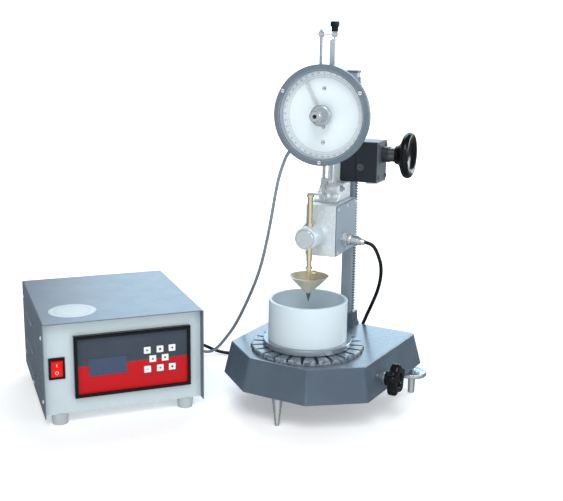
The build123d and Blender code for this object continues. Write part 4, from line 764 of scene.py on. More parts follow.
KEY_WHITE = Finish("Key print", "keypad_red", (0.76, 0.8, 0.82), (0.8, 0.835, 0.855), (0.4, 0.5),
                   relief=0.01, dust=0.0)
SCREEN = Finish("Display window", "display_dark", (0.042, 0.063, 0.118), (0.05, 0.073, 0.134), (0.24, 0.32),
                relief=0.004, dust=0.0, specular=0.3)
ROCKER = Finish("Red rocker", "switch_red", (0.78, 0.006, 0.004), (0.84, 0.01, 0.008), (0.28, 0.36),
                relief=0.01, specular=0.15)
BOARD = Finish("Circuit board", "board_green", (0.02, 0.13, 0.05), (0.03, 0.19, 0.07), (0.4, 0.5),
               scale=300.0)
FOOT_GREY = Finish("Pale rubber", "foot_grey", (0.4, 0.455, 0.48), (0.45, 0.505, 0.53), (0.5, 0.62),
                   relief=0.04)
CABLE_GREY = Finish("Grey cable jacket", "cable_grey", (0.21, 0.24, 0.27), (0.23, 0.26, 0.29), (0.4, 0.5),
                    relief=0.001, scale=1500.0, specular=0.3)
# A lighter copy of the cover paint: painted highlight along the louvre edges
LOUVRE_HIGHLIGHT = replace(COVER, name="Louvre edge painted highlight", colour=(0.26, 0.31, 0.36), tone=(0.3, 0.35, 0.4))
BOX_SCREW = replace(CHROME, name="Box screws", colour=(0.78, 0.82, 0.85), tone=(0.84, 0.87, 0.9), metal=0.2)
CASE_PLATE = replace(STRIP, name="Bottom plate", colour=(0.74, 0.82, 0.87), tone=(0.8, 0.86, 0.9),
                     metal=0.1)
# The ring nut's proud edges are painted light: painted highlights on the notch flanks, with some wear
RING_PAINT_HIGHLIT = replace(HAMMER, name="Ring paint with painted highlights", worn=(0.4, 0.46, 0.52), wear=0.9)
ARM_CAST = replace(CAST, name="Arm casting", colour=(0.74, 0.805, 0.84), tone=(0.8, 0.86, 0.89))
CABLE_BLACK = Finish("Black cable jacket", "cable_black", (0.006, 0.007, 0.009), (0.01, 0.011, 0.013),
                     (0.34, 0.46), relief=0.02, scale=700.0, dust=0.0, specular=0.15)
LABEL = Finish("Blank label", "dial_white", (0.62, 0.68, 0.715), (0.66, 0.715, 0.745), (0.4, 0.5),
               relief=0.01, dust=0.0)
LABEL_RING = Finish("Label ring", "dial_white", (0.3, 0.345, 0.38), (0.36, 0.405, 0.44), (0.4, 0.5),
                    relief=0.01)
GASKET = Finish("Rubber gasket", "black_matte", (0.02, 0.022, 0.026), (0.035, 0.037, 0.04), (0.6, 0.75),
                relief=0.05)

NODE_FINISH: dict[str, Finish] = {
    "base_casting": HAMMER, "pillar_socket": HAMMER, "ring_nut": RING_PAINT_HIGHLIT, "dial_housing": BEZEL,
    "dial_bezel": BEZEL, "pillar": PILLAR, "pillar_rack": RACK, "pillar_cap": HEAD, "specimen_table": STEEL,
    "specimen_dish": DISH, "head_sleeve": HEAD, "gear_case": HEAD, "head_plates": BLACKED,
    "drive_pinion": PINION, "worm_shaft": SLEEVE, "handwheel": GLOSS, "release_block": CAST,
    "block_cover": BLOCK_PAINT, "solenoid": MATTE, "clutch_barrel": CAST, "barrel_bushes": BRASS,
    "release_button": BARREL, "connector_socket": CHROME, "dial_plate": DIAL_WHITE,
    "head_screws": SCREW, "dial_gland": MATTE, "pointer_arbor": STEEL, "pointer": NEEDLE,
    "zero_knob": TURNED_FRONT, "measuring_rack": STRIP, "guide_rod": BAR, "rod_bridge": CHROME,
    "measuring_nuts": BAR, "contact_foot": BAR, "plunger_rod": BRASS, "penetration_cone": CONE,
    "cone_tip": TIP, "cone_screw": BRASS, "clamp_spindle": STEEL, "control_chassis": PANEL,
    "control_cover": COVER, "control_feet": FOOT_GREY, "panel_frame": GLOSS, "keypad_overlay": KEYPAD,
    "display_window": SCREEN, "switch_housing": GLOSS, "switch_rocker": ROCKER, "circuit_board": BOARD,
    "power_inlet": MATTE,
}


def baked(holder: bpy.types.Object) -> bpy.types.Mesh:
    """The mesh of an object as it shows.

    Args:
        holder: an object in the scene.

    Returns:
        A new mesh with the object's modifiers worked in.
    """
    bpy.context.view_layer.update()
    graph = bpy.context.evaluated_depsgraph_get()
    return bpy.data.meshes.new_from_object(holder.evaluated_get(graph))


def meshed(curve: bpy.types.Curve) -> bpy.types.Mesh:
    """A curve as a mesh.

    Args:
        curve: the curve.

    Returns:
        A new mesh.
    """
    holder = bpy.data.objects.new(curve.name, curve)
    bpy.context.scene.collection.objects.link(holder)
    made = baked(holder)
    bpy.data.objects.remove(holder)
    return made


def oblong(across: Span, upward: Span) -> Profile:
    """Corner points of a rectangle, anticlockwise."""
    return [(across[0], upward[0]), (across[1], upward[0]), (across[1], upward[1]), (across[0], upward[1])]


def rounded(half_x: float, half_y: float, corner: float, steps: int = 6) -> Profile:
    """Corner points of a rectangle with round corners, anticlockwise.

    Args:
        half_x: half its width.
        half_y: half its height.
        corner: radius of its corners.
        steps: points in each corner.

    Returns:
        The points.
    """
    points = []
    for quarter, (side_x, side_y) in enumerate(((1, 1), (-1, 1), (-1, -1), (1, -1))):
        for step in range(steps + 1):
            angle = QUARTER * (quarter + step / steps)
            points.append((side_x * (half_x - corner) + corner * cos(angle),
                           side_y * (half_y - corner) + corner * sin(angle)))
    return points


def band(heights: Span, radii: Span) -> Profile:
    """The closed profile of a flat ring."""
    (low, high), (inner, outer) = heights, radii
    return [(low, inner), (high, inner), (high, outer), (low, outer), (low, inner)]


@dataclass(frozen=True)
class Ribs:
    """A row of equal ribs along a turned piece."""

    count: int
    start: float
    pitch: float
    shape: Profile
    taper: float = 0.0

    def profile(self) -> Profile:
        """The ribs' points, from one end to the other.

        Returns:
            Pairs of a height and a radius.
        """
        points = []
        for rib in range(self.count):
            for along, radius in self.shape:
                points.append((self.start + self.pitch * rib + along, radius - self.taper * rib))
        return points


@dataclass(frozen=True)
class Grip:
    """Flutes round a turned piece, between two heights."""

    flutes: int
    depth: float
    heights: Span

    def cut(self, along: float, angle: float) -> float:
        """How deep the piece is cut at a height and an angle."""
        inside = self.heights[0] <= along <= self.heights[1]
        return self.depth * (0.5 + 0.5 * cos(self.flutes * angle)) if inside else 0.0


class Workpiece:
    """A mesh in the making, in millimetres of one place."""

    # Points closer to the axis than this stand on it
    ON_AXIS = 1e-6
    EDGE_STEPS = 3
    EDGE_ROUNDNESS = 0.6
    # The type's size against the height of its figures
    FIGURE_SCALE = 1.4
    FIGURE_STEPS = 3
    # Edges flatter than this look round
    SMOOTH_ANGLE = radians(35.0)

    def __init__(self, place: Place) -> None:
        """Start an empty mesh at a place."""
        self.place = place
        self.mesh = bmesh.new()

    def ring(self, seat: Matrix, points: Iterable[Point]) -> Ring:
        """New mesh points from points of a seat."""
        return [self.mesh.verts.new(seat @ Vector(point)) for point in points]

    def circle(self, middle: Vector, side: Vector, other: Vector, radius: float, steps: int) -> Ring:
        """New mesh points round a middle.

        Args:
            middle: the middle.
            side: the direction of the first point.
            other: the direction of the point a quarter further.
            radius: of the circle.
            steps: number of points.

        Returns:
            The points in order.
        """
        made = []
        for step in range(steps):
            turn = 2 * pi * step / steps
            made.append(self.mesh.verts.new(middle + radius * (cos(turn) * side + sin(turn) * other)))
        return made

    def skin(self, low: Ring, high: Ring) -> None:
        """Faces between two neighbouring rings.

        Args:
            low: one ring, or a single point.
            high: the next ring, or a single point.
        """
        count = max(len(low), len(high))
        for step in range(count):
            after = (step + 1) % count
            corners = [low[step % len(low)], low[after % len(low)]]
            corners += [high[after % len(high)], high[step % len(high)]]
            unique = list(dict.fromkeys(corners))
            if len(unique) > 2:
                self.mesh.faces.new(unique)

    def stack(self, rings: Sequence[Ring], capped: bool = True) -> None:
        """Skin rings from one end to the other.

        Args:
            rings: the rings in order.
            capped: whether the ends are closed.
        """
        for low, high in zip(rings, rings[1:]):
            self.skin(low, high)
        for ring in (rings[0], rings[-1]):
            if capped and len(ring) > 1:
                self.mesh.faces.new(ring)

    def turned(self, seat: Matrix, profile: Profile, steps: int = 64, grip: Grip | None = None) -> None:
        """Spin a profile round the Z of a seat.

        Args:
            seat: the seat of the turned form.
            profile: pairs of a height along Z and a radius, from one end to the other.
            steps: points round the axis.
            grip: flutes that are cut into it.
        """
        rings = []
        for along, radius in profile:
            points = []
            for step in range(steps if radius > self.ON_AXIS else 1):
                angle = 2 * pi * step / steps
                reach = radius - grip.cut(along, angle) if grip else radius
                points.append((reach * cos(angle), reach * sin(angle), along))
            rings.append(self.ring(seat, points))
        self.stack(rings, capped=profile[0] != profile[-1])

    def prism(self, seat: Matrix, outline: Profile, depth: float, edge: float = 0.0) -> None:
        """Raise a flat outline along the Z of a seat.

        Args:
            seat: the seat of the outline.
            outline: corner points in the seat's own X and Y, anticlockwise.
            depth: how far it is raised.
            edge: width of the bevel round its top, or 0 for none.
        """
        rings = [self.ring(seat, [(x, y, height) for x, y in outline]) for height in (0.0, depth - edge)]
        if edge:
            middle = Vector((sum(x for x, _ in outline), sum(y for _, y in outline))) / len(outline)
            top = []
            for x, y in outline:
                inward = (middle - Vector((x, y))).normalized() * edge
                top.append((x + inward.x, y + inward.y, depth))
            rings.append(self.ring(seat, top))
        self.stack(rings)

    def block(self, low: Point, high: Point, edge: float) -> None:
        """A block with its edges eased.

        Args:
            low: its corner at the lower end of every axis.
            high: the opposite corner.
            edge: width of the easing.
        """
        sizes = [b - a for a, b in zip(low, high)]
        middle = [(a + b) / 2 for a, b in zip(low, high)]
        seat = Matrix.Translation(middle) @ Matrix.Diagonal((*sizes, 1.0))
        made = bmesh.ops.create_cube(self.mesh, size=1.0, matrix=seat)
        edges = list({e for v in made["verts"] for e in v.link_edges})
        bmesh.ops.bevel(self.mesh, geom=edges, offset=edge, segments=self.EDGE_STEPS,
                        profile=self.EDGE_ROUNDNESS, affect="EDGES")

    def lettering(self, seat: Matrix, words: str, size: float, thick: float) -> None:
        """Flat figures that stand on a seat.

        Args:
            seat: the middle of the figures.
            words: what they say.
            size: their height.
            thick: how far they stand proud.
        """
        curve = bpy.data.curves.new("figures", "FONT")
        curve.body = words
        curve.size = size * self.FIGURE_SCALE
        curve.align_x = "CENTER"
        curve.align_y = "CENTER"
        curve.extrude = thick / 2
        curve.resolution_u = self.FIGURE_STEPS
        flat = meshed(curve)
        flat.transform(seat @ Matrix.Translation((0.0, 0.0, thick / 2)))
        self.mesh.from_mesh(flat)
        bpy.data.meshes.remove(flat)

    def done(self, name: str, finish: Finish, body: str | None, *nodes: str) -> bpy.types.Object:
        """Close the mesh and make it a piece of the part.

        Args:
            name: the piece's name.
            finish: what it is finished in.
            body: the body that it rides, or None to leave it untied here.
            nodes: solids that it stands for.

        Returns:
            The piece.
        """
        bmesh.ops.recalc_face_normals(self.mesh, faces=self.mesh.faces)
        self.mesh.transform(self.place.matrix())
        data = bpy.data.meshes.new(name)
        self.mesh.to_mesh(data)
        self.mesh.free()
        data.shade_smooth()
        data.set_sharp_from_angle(angle=self.SMOOTH_ANGLE)
        data.materials.append(finish.material())
        piece = bpy.data.objects.new(name, data)
        bpy.context.scene.collection.objects.link(piece)
        if body:
            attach(piece, body)
        if nodes:
            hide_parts(*nodes)
        LOG.info("%s: %d faces", name, len(data.polygons))
        return piece


@dataclass
class Cable:
    """A round cable from the sliding head to the control box."""

    name: str
    finish: Finish
    diameter: float
    points: Sequence[Point]
    still: float
    lifted: float
    sides: int = 16
    route_steps: int = 12

    def route(self) -> list[Vector]:
        """The centre line.

        Returns:
            Close points in metres.
        """
        curve = bpy.data.curves.new(self.name + "_route", "CURVE")
        curve.dimensions = "3D"
        spline = curve.splines.new("NURBS")
        spline.points.add(len(self.points) - 1)
        for target, spot in zip(spline.points, self.points):
            target.co = (*STAND.point(spot), 1.0)
        spline.order_u = 3
        spline.use_endpoint_u = True
        spline.resolution_u = self.route_steps
        line = meshed(curve)
        spots = [vertex.co.copy() for vertex in line.vertices]
        bpy.data.meshes.remove(line)
        return spots

    def build(self) -> None:
        """Skin the route."""
        spots = self.route()
        piece = Workpiece(Place(0.0, 0.0))
        scaled = [spot / MM for spot in spots]
        rings = []
        side = (scaled[1] - scaled[0]).orthogonal().normalized()
        for before, spot, after in zip(scaled[:1] + scaled, scaled, scaled[1:] + scaled[-1:]):
            along = (after - before).normalized()
            side = (side - along * side.dot(along)).normalized()
            rings.append(piece.circle(spot, side, along.cross(side), self.diameter / 2, self.sides))
        piece.stack(rings)
        made = piece.done(self.name + "_jacket", self.finish, None, self.name)
        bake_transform(made)


@dataclass
class Stand:
    """Levelling screws, front foot and clamp knob of the base."""

    level_x: float = 127.0
    level_y: float = 148.0
    # Heights and radii of a levelling screw: its pin, its dished disc, its thread and its end
    screw: Profile = (
        (0.0, 0.0), (0.0, 4.9), (0.8, 5.6), (28.0, 6.1), (28.4, 8.7), (32.0, 8.7), (32.0, 23.8), (33.2, 25.0),
        (37.8, 25.0), (39.0, 23.8), (39.0, 18.0), (38.5, 17.4), (38.5, 9.0), (39.0, 8.4), (39.0, 3.4))
    thread: Ribs = Ribs(count=14, start=39.8, pitch=1.25, shape=((0.0, 3.4), (0.4, 3.95), (0.9, 3.4)))
    screw_end: Profile = ((57.5, 3.4), (57.5, 0.0))
    knurl: Grip = Grip(flutes=64, depth=0.7, heights=(33.0, 38.0))
    knurl_steps: int = 192
    foot_y: float = -96.0
    foot: Profile = ((0.0, 0.0), (0.0, 2.6), (0.5, 3.2), (47.7, 8.9), (48.2, 8.5), (48.2, 0.0))
    clamp_z: float = 76.5
    knob_x: float = 149.0
    lobes: int = 5
    lobe_r: float = 23.2
    lobe_rise: float = 2.7
    lobe_steps: int = 120
    # Heights and radii of the knob's hub, heights and scales of its lobes, heights and radii of its hollow
    knob_hub: Profile = ((-8.0, 5.2), (-8.0, 11.4), (-7.2, 12.3), (0.0, 12.5))
    knob_layers: Profile = (
        (0.0, 0.86), (0.5, 0.93), (1.6, 0.985), (3.0, 1.0), (10.6, 1.0), (12.4, 0.98), (13.5, 0.93),
        (14.0, 0.85))
    knob_hollow: Profile = ((14.0, 12.0), (13.4, 11.2), (11.4, 10.6), (11.4, 4.6), (12.8, 3.8))

    def levelling_screws(self) -> None:
        """Knurled discs on threaded pins under the rear corners."""
        profile = [*self.screw, *self.thread.profile(), *self.screw_end]
        for x, side in ((-self.level_x, "left"), (self.level_x, "right")):
            piece = Workpiece(BASE)
            piece.turned(upright(x, self.level_y, 0.0), profile, self.knurl_steps, self.knurl)
            piece.done(f"level_{side}_screw", LEVEL_STEEL, f"level_{side}", f"level_screw_{side}")

    def front_foot(self) -> None:
        """The tapered foot under the front edge."""
        piece = Workpiece(BASE)
        piece.turned(upright(0.0, self.foot_y, 0.0), self.foot)
        piece.done("front_foot_pin", FOOT_STEEL, "stand", "front_foot")

    def star_knob(self) -> None:
        """The lobed clamp knob with its hollowed face."""
        turns = [2 * pi * step / self.lobe_steps for step in range(self.lobe_steps)]
        circle = [1.0 for _ in turns]
        star = [self.lobe_r + self.lobe_rise * cos(self.lobes * (turn - QUARTER)) for turn in turns]
        levels = [(height, radius, circle) for height, radius in self.knob_hub]
        levels += [(height, scale, star) for height, scale in self.knob_layers]
        levels += [(height, radius, circle) for height, radius in self.knob_hollow]
        seat = sideways(self.knob_x, 0.0, self.clamp_z) @ Matrix.Rotation(QUARTER, 4, "Z")
        piece = Workpiece(BASE)
        rings = []
        for height, scale, shape in levels:
            points = []
            for turn, reach in zip(turns, shape):
                points.append((scale * reach * cos(turn), scale * reach * sin(turn), height))
            rings.append(piece.ring(seat, points))
        piece.stack(rings)
        piece.done("clamp_star_knob", GLOSS, "clamp", "clamp_knob")

    def build(self) -> None:
        """Make every piece of the stand."""
        self.levelling_screws()
        self.front_foot()
        self.star_knob()


@dataclass
class Dial:
    """Graduations, figures and bezel lip of the dial."""

    x: float = 23.5
    z: float = 477.6
    plate_y: float = -15.0
    bezel_y: float = -30.0
    divisions: int = 400
    numbered: int = 10
    halfway: int = 5
    # Radius and width of each printed ring
    rings: Profile = ((56.0, 0.55), (57.3, 0.25), (60.2, 0.4))
    ring_steps: int = 180
    # Inner radius and width of a tick, then the outer radius of all
    tick: Span = (58.8, 0.2)
    halfway_tick: Span = (57.7, 0.28)
    numbered_tick: Span = (56.2, 0.42)
    tick_end: float = 60.2
    figure_r: float = 62.7
    figure_size: float = 2.1
    proud: float = 0.06
    sunk: float = 0.05
    figure_sunk: float = 0.02
    # Heights over the bezel and radii of its inner chamfer
    chamfer: Profile = (
        (-14.0, 66.0), (-14.0, 65.45), (-2.0, 65.45), (0.12, 67.5), (0.12, 67.8), (-1.0, 66.2), (-14.0, 66.0))
    chamfer_steps: int = 160
    bezel_screws: Sequence[float] = (30.0, 150.0, 270.0)
    screw_circle_r: float = 70.2
    plate_screws: Sequence[float] = (40.0, -17.5, -41.0)
    # Radius of a screw head and height of its slot's floor
    bezel_head: Span = (3.0, 0.9)
    plate_head: Span = (2.4, 0.5)
    # Heights of a painted shade ring and how far it reaches past the screw head
    washer_rim: Profile = ((-0.05, -0.3), (0.2, -0.3), (0.2, 0.45), (-0.05, 0.6), (-0.05, -0.3))
    washer_steps: int = 32
    slot_inset: float = 0.2
    slot_half: float = 0.35
    slot_sunk: float = 0.02
    slot_shade: float = 0.06
    bore_y: float = -50.0
    bore_screw: Profile = ((0.0, 0.0), (0.0, 3.0), (3.2, 3.0), (3.6, 2.6), (3.6, 1.6), (1.0, 1.6), (1.0, 0.0))
    bore_screw_steps: int = 24

    def seat(self, tick: int = 0) -> Matrix:
        """The dial's middle on the face of its plate, turned to a tick."""
        spin = Matrix.Rotation(-2 * pi * tick / self.divisions, 4, "Z")
        return forward(self.x, self.plate_y, self.z) @ spin

    def graduations(self) -> None:
        """Three rings and the ticks between them."""
        piece = Workpiece(STAND)
        for radius, width in self.rings:
            profile = band((-self.sunk, self.proud), (radius - width / 2, radius + width / 2))
            piece.turned(self.seat(), profile, self.ring_steps)
        for tick in range(self.divisions):
            start, width = self.tick
            if tick % self.numbered == 0:
                start, width = self.numbered_tick
            elif tick % self.halfway == 0:
                start, width = self.halfway_tick
            corners = oblong((-width / 2, width / 2), (start, self.tick_end))
            piece.prism(self.seat(tick) @ upright(0.0, 0.0, -self.sunk), corners, self.proud + self.sunk)
        piece.done("dial_graduations", SCALE_PRINT, "head")

    def figures(self) -> None:
        """The numbers outside the graduations."""
        piece = Workpiece(STAND)
        for tick in range(0, self.divisions, self.numbered):
            seat = self.seat(tick) @ upright(0.0, self.figure_r, -self.figure_sunk)
            piece.lettering(seat, str(tick), self.figure_size, self.proud)
        piece.done("dial_figures", PRINT_AND_SHADE, "head")

    def lip(self) -> None:
        """The inner chamfer of the bezel, in a paler copy of the bezel paint as a painted highlight."""
        piece = Workpiece(STAND)
        piece.turned(forward(self.x, self.bezel_y, self.z), self.chamfer, self.chamfer_steps)
        piece.done("bezel_lip", LIP_HIGHLIGHT, "head")

    def screw_shade(self) -> None:
        """Painted shade: dark rings round the screw heads and dark marks in their slots."""
        piece = Workpiece(STAND)
        for bearing in self.bezel_screws:
            x = self.x + self.screw_circle_r * cos(radians(bearing))
            z = self.z + self.screw_circle_r * sin(radians(bearing))
            self.washer(piece, forward(x, self.bezel_y, z), *self.bezel_head)
        for rise in self.plate_screws:
            self.washer(piece, forward(self.x, self.plate_y, self.z + rise), *self.plate_head)
        piece.done("screw_painted_shade", PRINT_AND_SHADE, "head")

    def washer(self, piece: Workpiece, seat: Matrix, radius: float, slot: float) -> None:
        """One painted shade ring round a screw head, with painted shade in its slot.

        Args:
            piece: the piece it is added to.
            seat: the middle of the screw on the face under it.
            radius: of the screw head.
            slot: height of the slot's floor over that face.
        """
        piece.turned(seat, [(height, radius + past) for height, past in self.washer_rim], self.washer_steps)
        reach = radius - self.slot_inset
        corners = oblong((-reach, reach), (-self.slot_half, self.slot_half))
        piece.prism(seat @ upright(0.0, 0.0, slot - self.slot_sunk), corners, self.slot_shade)

    def knob_screw(self) -> None:
        """A black socket screw that fills the bore of the zero knob and darkens it as painted shade."""
        piece = Workpiece(STAND)
        piece.turned(forward(self.x, self.bore_y, self.z), self.bore_screw, self.bore_screw_steps)
        piece.done("zero_knob_screw", MATTE, "pointer")

    def build(self) -> None:
        """Make every piece of the dial."""
        self.graduations()
        self.figures()
        self.lip()
        self.screw_shade()
        self.knob_screw()


@dataclass
class SlidingHead:
    """Arm casting, release block fittings and connector of the head."""

    # Outlines of the arm in distances to the back and up
    web_x: Span = (3.0, 13.0)
    web: Profile = (
        (124.0, 356.0), (110.0, 356.0), (110.0, 446.0), (50.0, 500.0), (13.8, 500.0), (13.8, 418.0),
        (76.0, 408.0), (70.0, 362.0), (58.0, 340.0), (124.0, 340.0))
    hump_x: Span = (-14.0, 26.5)
    hump: Profile = (
        (126.0, 332.5), (126.0, 360.9), (88.0, 360.9), (80.0, 352.0), (68.0, 343.0), (55.0, 337.0),
        (50.0, 332.5))
    # Middle and radius of each round lobe on the arm
    lobes: Sequence[tuple[float, float, float, float]] = ((4.0, 62.0, 342.0, 8.5), (18.0, 66.0, 341.0, 8.0))
    lobe_tilt: int = 15
    lobe_steps: int = 24
    lug: Point = (9.0, 72.0, 354.0)
    lug_shape: Profile = ((0.0, 0.0), (0.0, 7.4), (14.5, 7.4), (16.5, 6.4), (17.5, 4.6), (17.5, 0.0))
    lug_steps: int = 32
    nut_x: float = 25.5
    nut: Profile = ((0.0, 0.0), (0.0, 4.9), (0.4, 5.2), (3.6, 5.2), (4.0, 4.8), (4.0, 0.0))
    nut_sides: int = 6
    stud: Profile = ((3.9, 0.0), (3.9, 2.4), (6.6, 2.4), (7.1, 1.9), (7.1, 0.0))
    stud_steps: int = 24
    voxel: float = 1.7
    soften: float = 0.5
    soften_rounds: int = 4
    lump_size: float = 17.0
    lump_depth: int = 3
    lump_height: float = 1.7
    lump_level: float = 0.55
    spring_y: Span = (-15.4, -8.6)
    spring_z: float = 285.0
    spring_r: float = 10.0
    spring_turns: int = 4
    spring_sides: int = 40
    wire_r: float = 0.5
    wire_sides: int = 10
    block_x: float = 35.0
    block_y: Span = (24.0, 127.0)
    block_z: Span = (249.5, 332.5)
    gasket_inset: float = 0.6
    gasket_sunk: float = 0.25
    gasket_thick: float = 0.6
    gasket_corner: float = 1.5
    plug_x: float = 50.0
    plug_y: float = 58.0
    plug_z: float = 274.5
    plug_droop: float = 7.0
    plug_steps: int = 64
    plug_ring: Profile = ((46.0, 0.0), (46.0, 9.0), (46.5, 9.5), (51.5, 9.5), (52.0, 9.0), (52.0, 0.0))
    plug_grip: Grip = Grip(flutes=32, depth=0.5, heights=(46.4, 51.6))
    plug_ring_steps: int = 96
    plug_nose: Profile = ((0.0, 0.0), (0.0, 7.8), (2.6, 8.2))
    plug_ribs: Ribs = Ribs(count=5, start=3.4, pitch=1.8,
                           shape=((0.0, 8.2), (0.2, 7.6), (0.8, 7.6), (1.0, 8.2)))
    plug_tail: Profile = (
        (12.5, 8.2), (12.5, 6.9), (18.0, 6.9), (18.5, 6.3), (18.5, 5.2), (23.5, 4.6), (24.5, 4.0),
        (24.5, 0.0))
    boss_y: float = 144.0
    boss_z: float = 406.0
    boss: Profile = (
        (76.0, 12.8), (76.0, 14.2), (77.4, 14.2), (77.8, 13.3), (87.0, 13.3), (88.0, 12.3), (88.0, 8.8),
        (87.7, 8.8), (87.7, 12.8), (76.0, 12.8))
    boss_steps: int = 72
    # Opposite corners of the plate under the gear case
    plate_low: Point = (57.0, 110.2, 358.4)
    plate_high: Point = (75.8, 165.8, 361.0)
    plate_edge: float = 0.4

    def arm(self) -> None:
        """The rough casting that joins the dial, the block and the sleeve."""
        piece = Workpiece(STAND)
        for (left, right), outline in ((self.web_x, self.web), (self.hump_x, self.hump)):
            piece.prism(section(left), outline, right - left)
        piece.turned(sideways(*self.lug), self.lug_shape, self.lug_steps)
        tilts = [radians(tilt) for tilt in range(-90, 91, self.lobe_tilt)]
        for x, y, z, radius in self.lobes:
            ball = [(radius * sin(tilt), radius * cos(tilt)) for tilt in tilts]
            piece.turned(upright(x, y, z), ball, self.lobe_steps)
        made = piece.done("arm_rough_casting", ARM_CAST, None)
        self.roughen(made)
        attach(made, "head")
        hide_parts("arm_casting")

    def roughen(self, piece: bpy.types.Object) -> None:
        """Fuse a piece into one skin with soft corners and a lumpy cast face.

        Args:
            piece: the piece, whose mesh is replaced.
        """
        fuse = piece.modifiers.new("fuse", "REMESH")
        fuse.mode = "VOXEL"
        fuse.voxel_size = self.voxel * MM
        soften = piece.modifiers.new("soften", "SMOOTH")
        soften.factor = self.soften
        soften.iterations = self.soften_rounds
        cloud = bpy.data.textures.new("cast_lumps", "CLOUDS")
        cloud.noise_scale = self.lump_size * MM
        cloud.noise_depth = self.lump_depth
        lump = piece.modifiers.new("lump", "DISPLACE")
        lump.texture = cloud
        lump.strength = self.lump_height * MM
        lump.mid_level = self.lump_level
        made = baked(piece)
        made.materials.clear()
        made.materials.append(ARM_CAST.material())
        made.shade_smooth()
        piece.modifiers.clear()
        piece.data = made

    def lug_nut(self) -> None:
        """The nut and stud end on the lug of the arm."""
        piece = Workpiece(STAND)
        seat = sideways(self.nut_x, *self.lug[1:])
        piece.turned(seat, self.nut, self.nut_sides)
        piece.turned(seat, self.stud, self.stud_steps)
        piece.done("lug_nut", STRIP, "head")

    def spring(self) -> None:
        """The return spring behind the release button."""
        piece = Workpiece(STAND)
        along = Vector((0.0, 1.0, 0.0))
        front, back = self.spring_y
        steps = self.spring_turns * self.spring_sides
        rings = []
        for step in range(steps + 1):
            angle = 2 * pi * step / self.spring_sides
            out = Vector((cos(angle), 0.0, sin(angle)))
            middle = Vector((0.0, front + (back - front) * step / steps, self.spring_z)) + self.spring_r * out
            rings.append(piece.circle(middle, out, along, self.wire_r, self.wire_sides))
        piece.stack(rings)
        made = piece.done("release_spring", STEEL, None)
        STAND.centre(0.0, front, self.spring_z)
        STAND.centre(0.0, back, self.spring_z)
        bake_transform(made)
        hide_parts("button_spring")

    def bottom_plate(self) -> None:
        """The bright plate that closes the gear case from below."""
        piece = Workpiece(STAND)
        piece.block(self.plate_low, self.plate_high, self.plate_edge)
        piece.done("case_bottom_plate", CASE_PLATE, "head")

    def gasket(self) -> None:
        """The dark gasket between the block and its cover."""
        piece = Workpiece(STAND)
        middle_y, middle_z = sum(self.block_y) / 2, sum(self.block_z) / 2
        half_y = (self.block_y[1] - self.block_y[0]) / 2 - self.gasket_inset
        half_z = (self.block_z[1] - self.block_z[0]) / 2 - self.gasket_inset
        seat = sideways(self.block_x - self.gasket_sunk, middle_y, middle_z)
        outline = rounded(half_y, half_z, self.gasket_corner)
        piece.prism(seat @ Matrix.Rotation(QUARTER, 4, "Z"), outline, self.gasket_thick)
        piece.done("cover_gasket", GASKET, "head")

    def plug(self) -> None:
        """The ribbed coupling ring and shell of the cable plug."""
        piece = Workpiece(STAND)
        seat = sideways(0.0, self.plug_y, self.plug_z)
        piece.turned(seat, self.plug_ring, self.plug_ring_steps, self.plug_grip)
        droop = Matrix.Rotation(radians(self.plug_droop), 4, "Y")
        shell = [*self.plug_nose, *self.plug_ribs.profile(), *self.plug_tail]
        piece.turned(sideways(self.plug_x, self.plug_y, self.plug_z) @ droop, shell, self.plug_steps)
        piece.done("cable_plug_shell", CHROME, "head", "connector_plug")

    def boss_jacket(self) -> None:
        """The black jacket of the handwheel boss."""
        piece = Workpiece(STAND)
        piece.turned(sideways(0.0, self.boss_y, self.boss_z), self.boss, self.boss_steps)
        piece.done("boss_jacket", BOSS_BLACK, "head")

    def build(self) -> None:
        """Make every piece of the head."""
        self.arm()
        self.lug_nut()
        self.spring()
        self.bottom_plate()
        self.gasket()
        self.plug()
        self.boss_jacket()


@dataclass
class MeasuringRods:
    """The knob at the top of the measuring rods."""

    x: float = 32.1
    y: float = 2.0
    knob: Profile = (
        (601.0, 0.0), (601.0, 4.6), (601.6, 5.2), (607.5, 5.2), (608.5, 6.4), (609.1, 7.0), (614.2, 7.0),
        (615.4, 6.3), (616.0, 5.0), (616.0, 0.0))
    grip: Grip = Grip(flutes=8, depth=0.7, heights=(609.0, 615.0))
    steps: int = 96

    def build(self) -> None:
        """Make the fluted lift knob."""
        piece = Workpiece(STAND)
        piece.turned(upright(self.x, self.y, 0.0), self.knob, self.steps, self.grip)
        piece.done("lift_knob_fluted", GLOSS, "measuring", "lift_knob")


@dataclass(frozen=True)
class Pad:
    """A flat square field with round corners and an eased rim."""

    half: float
    corner: float
    rise: float
    edge: float

    def add(self, piece: Workpiece, seat: Matrix) -> None:
        """Add the field to a piece."""
        piece.prism(seat, rounded(self.half, self.half, self.corner), self.rise, self.edge)


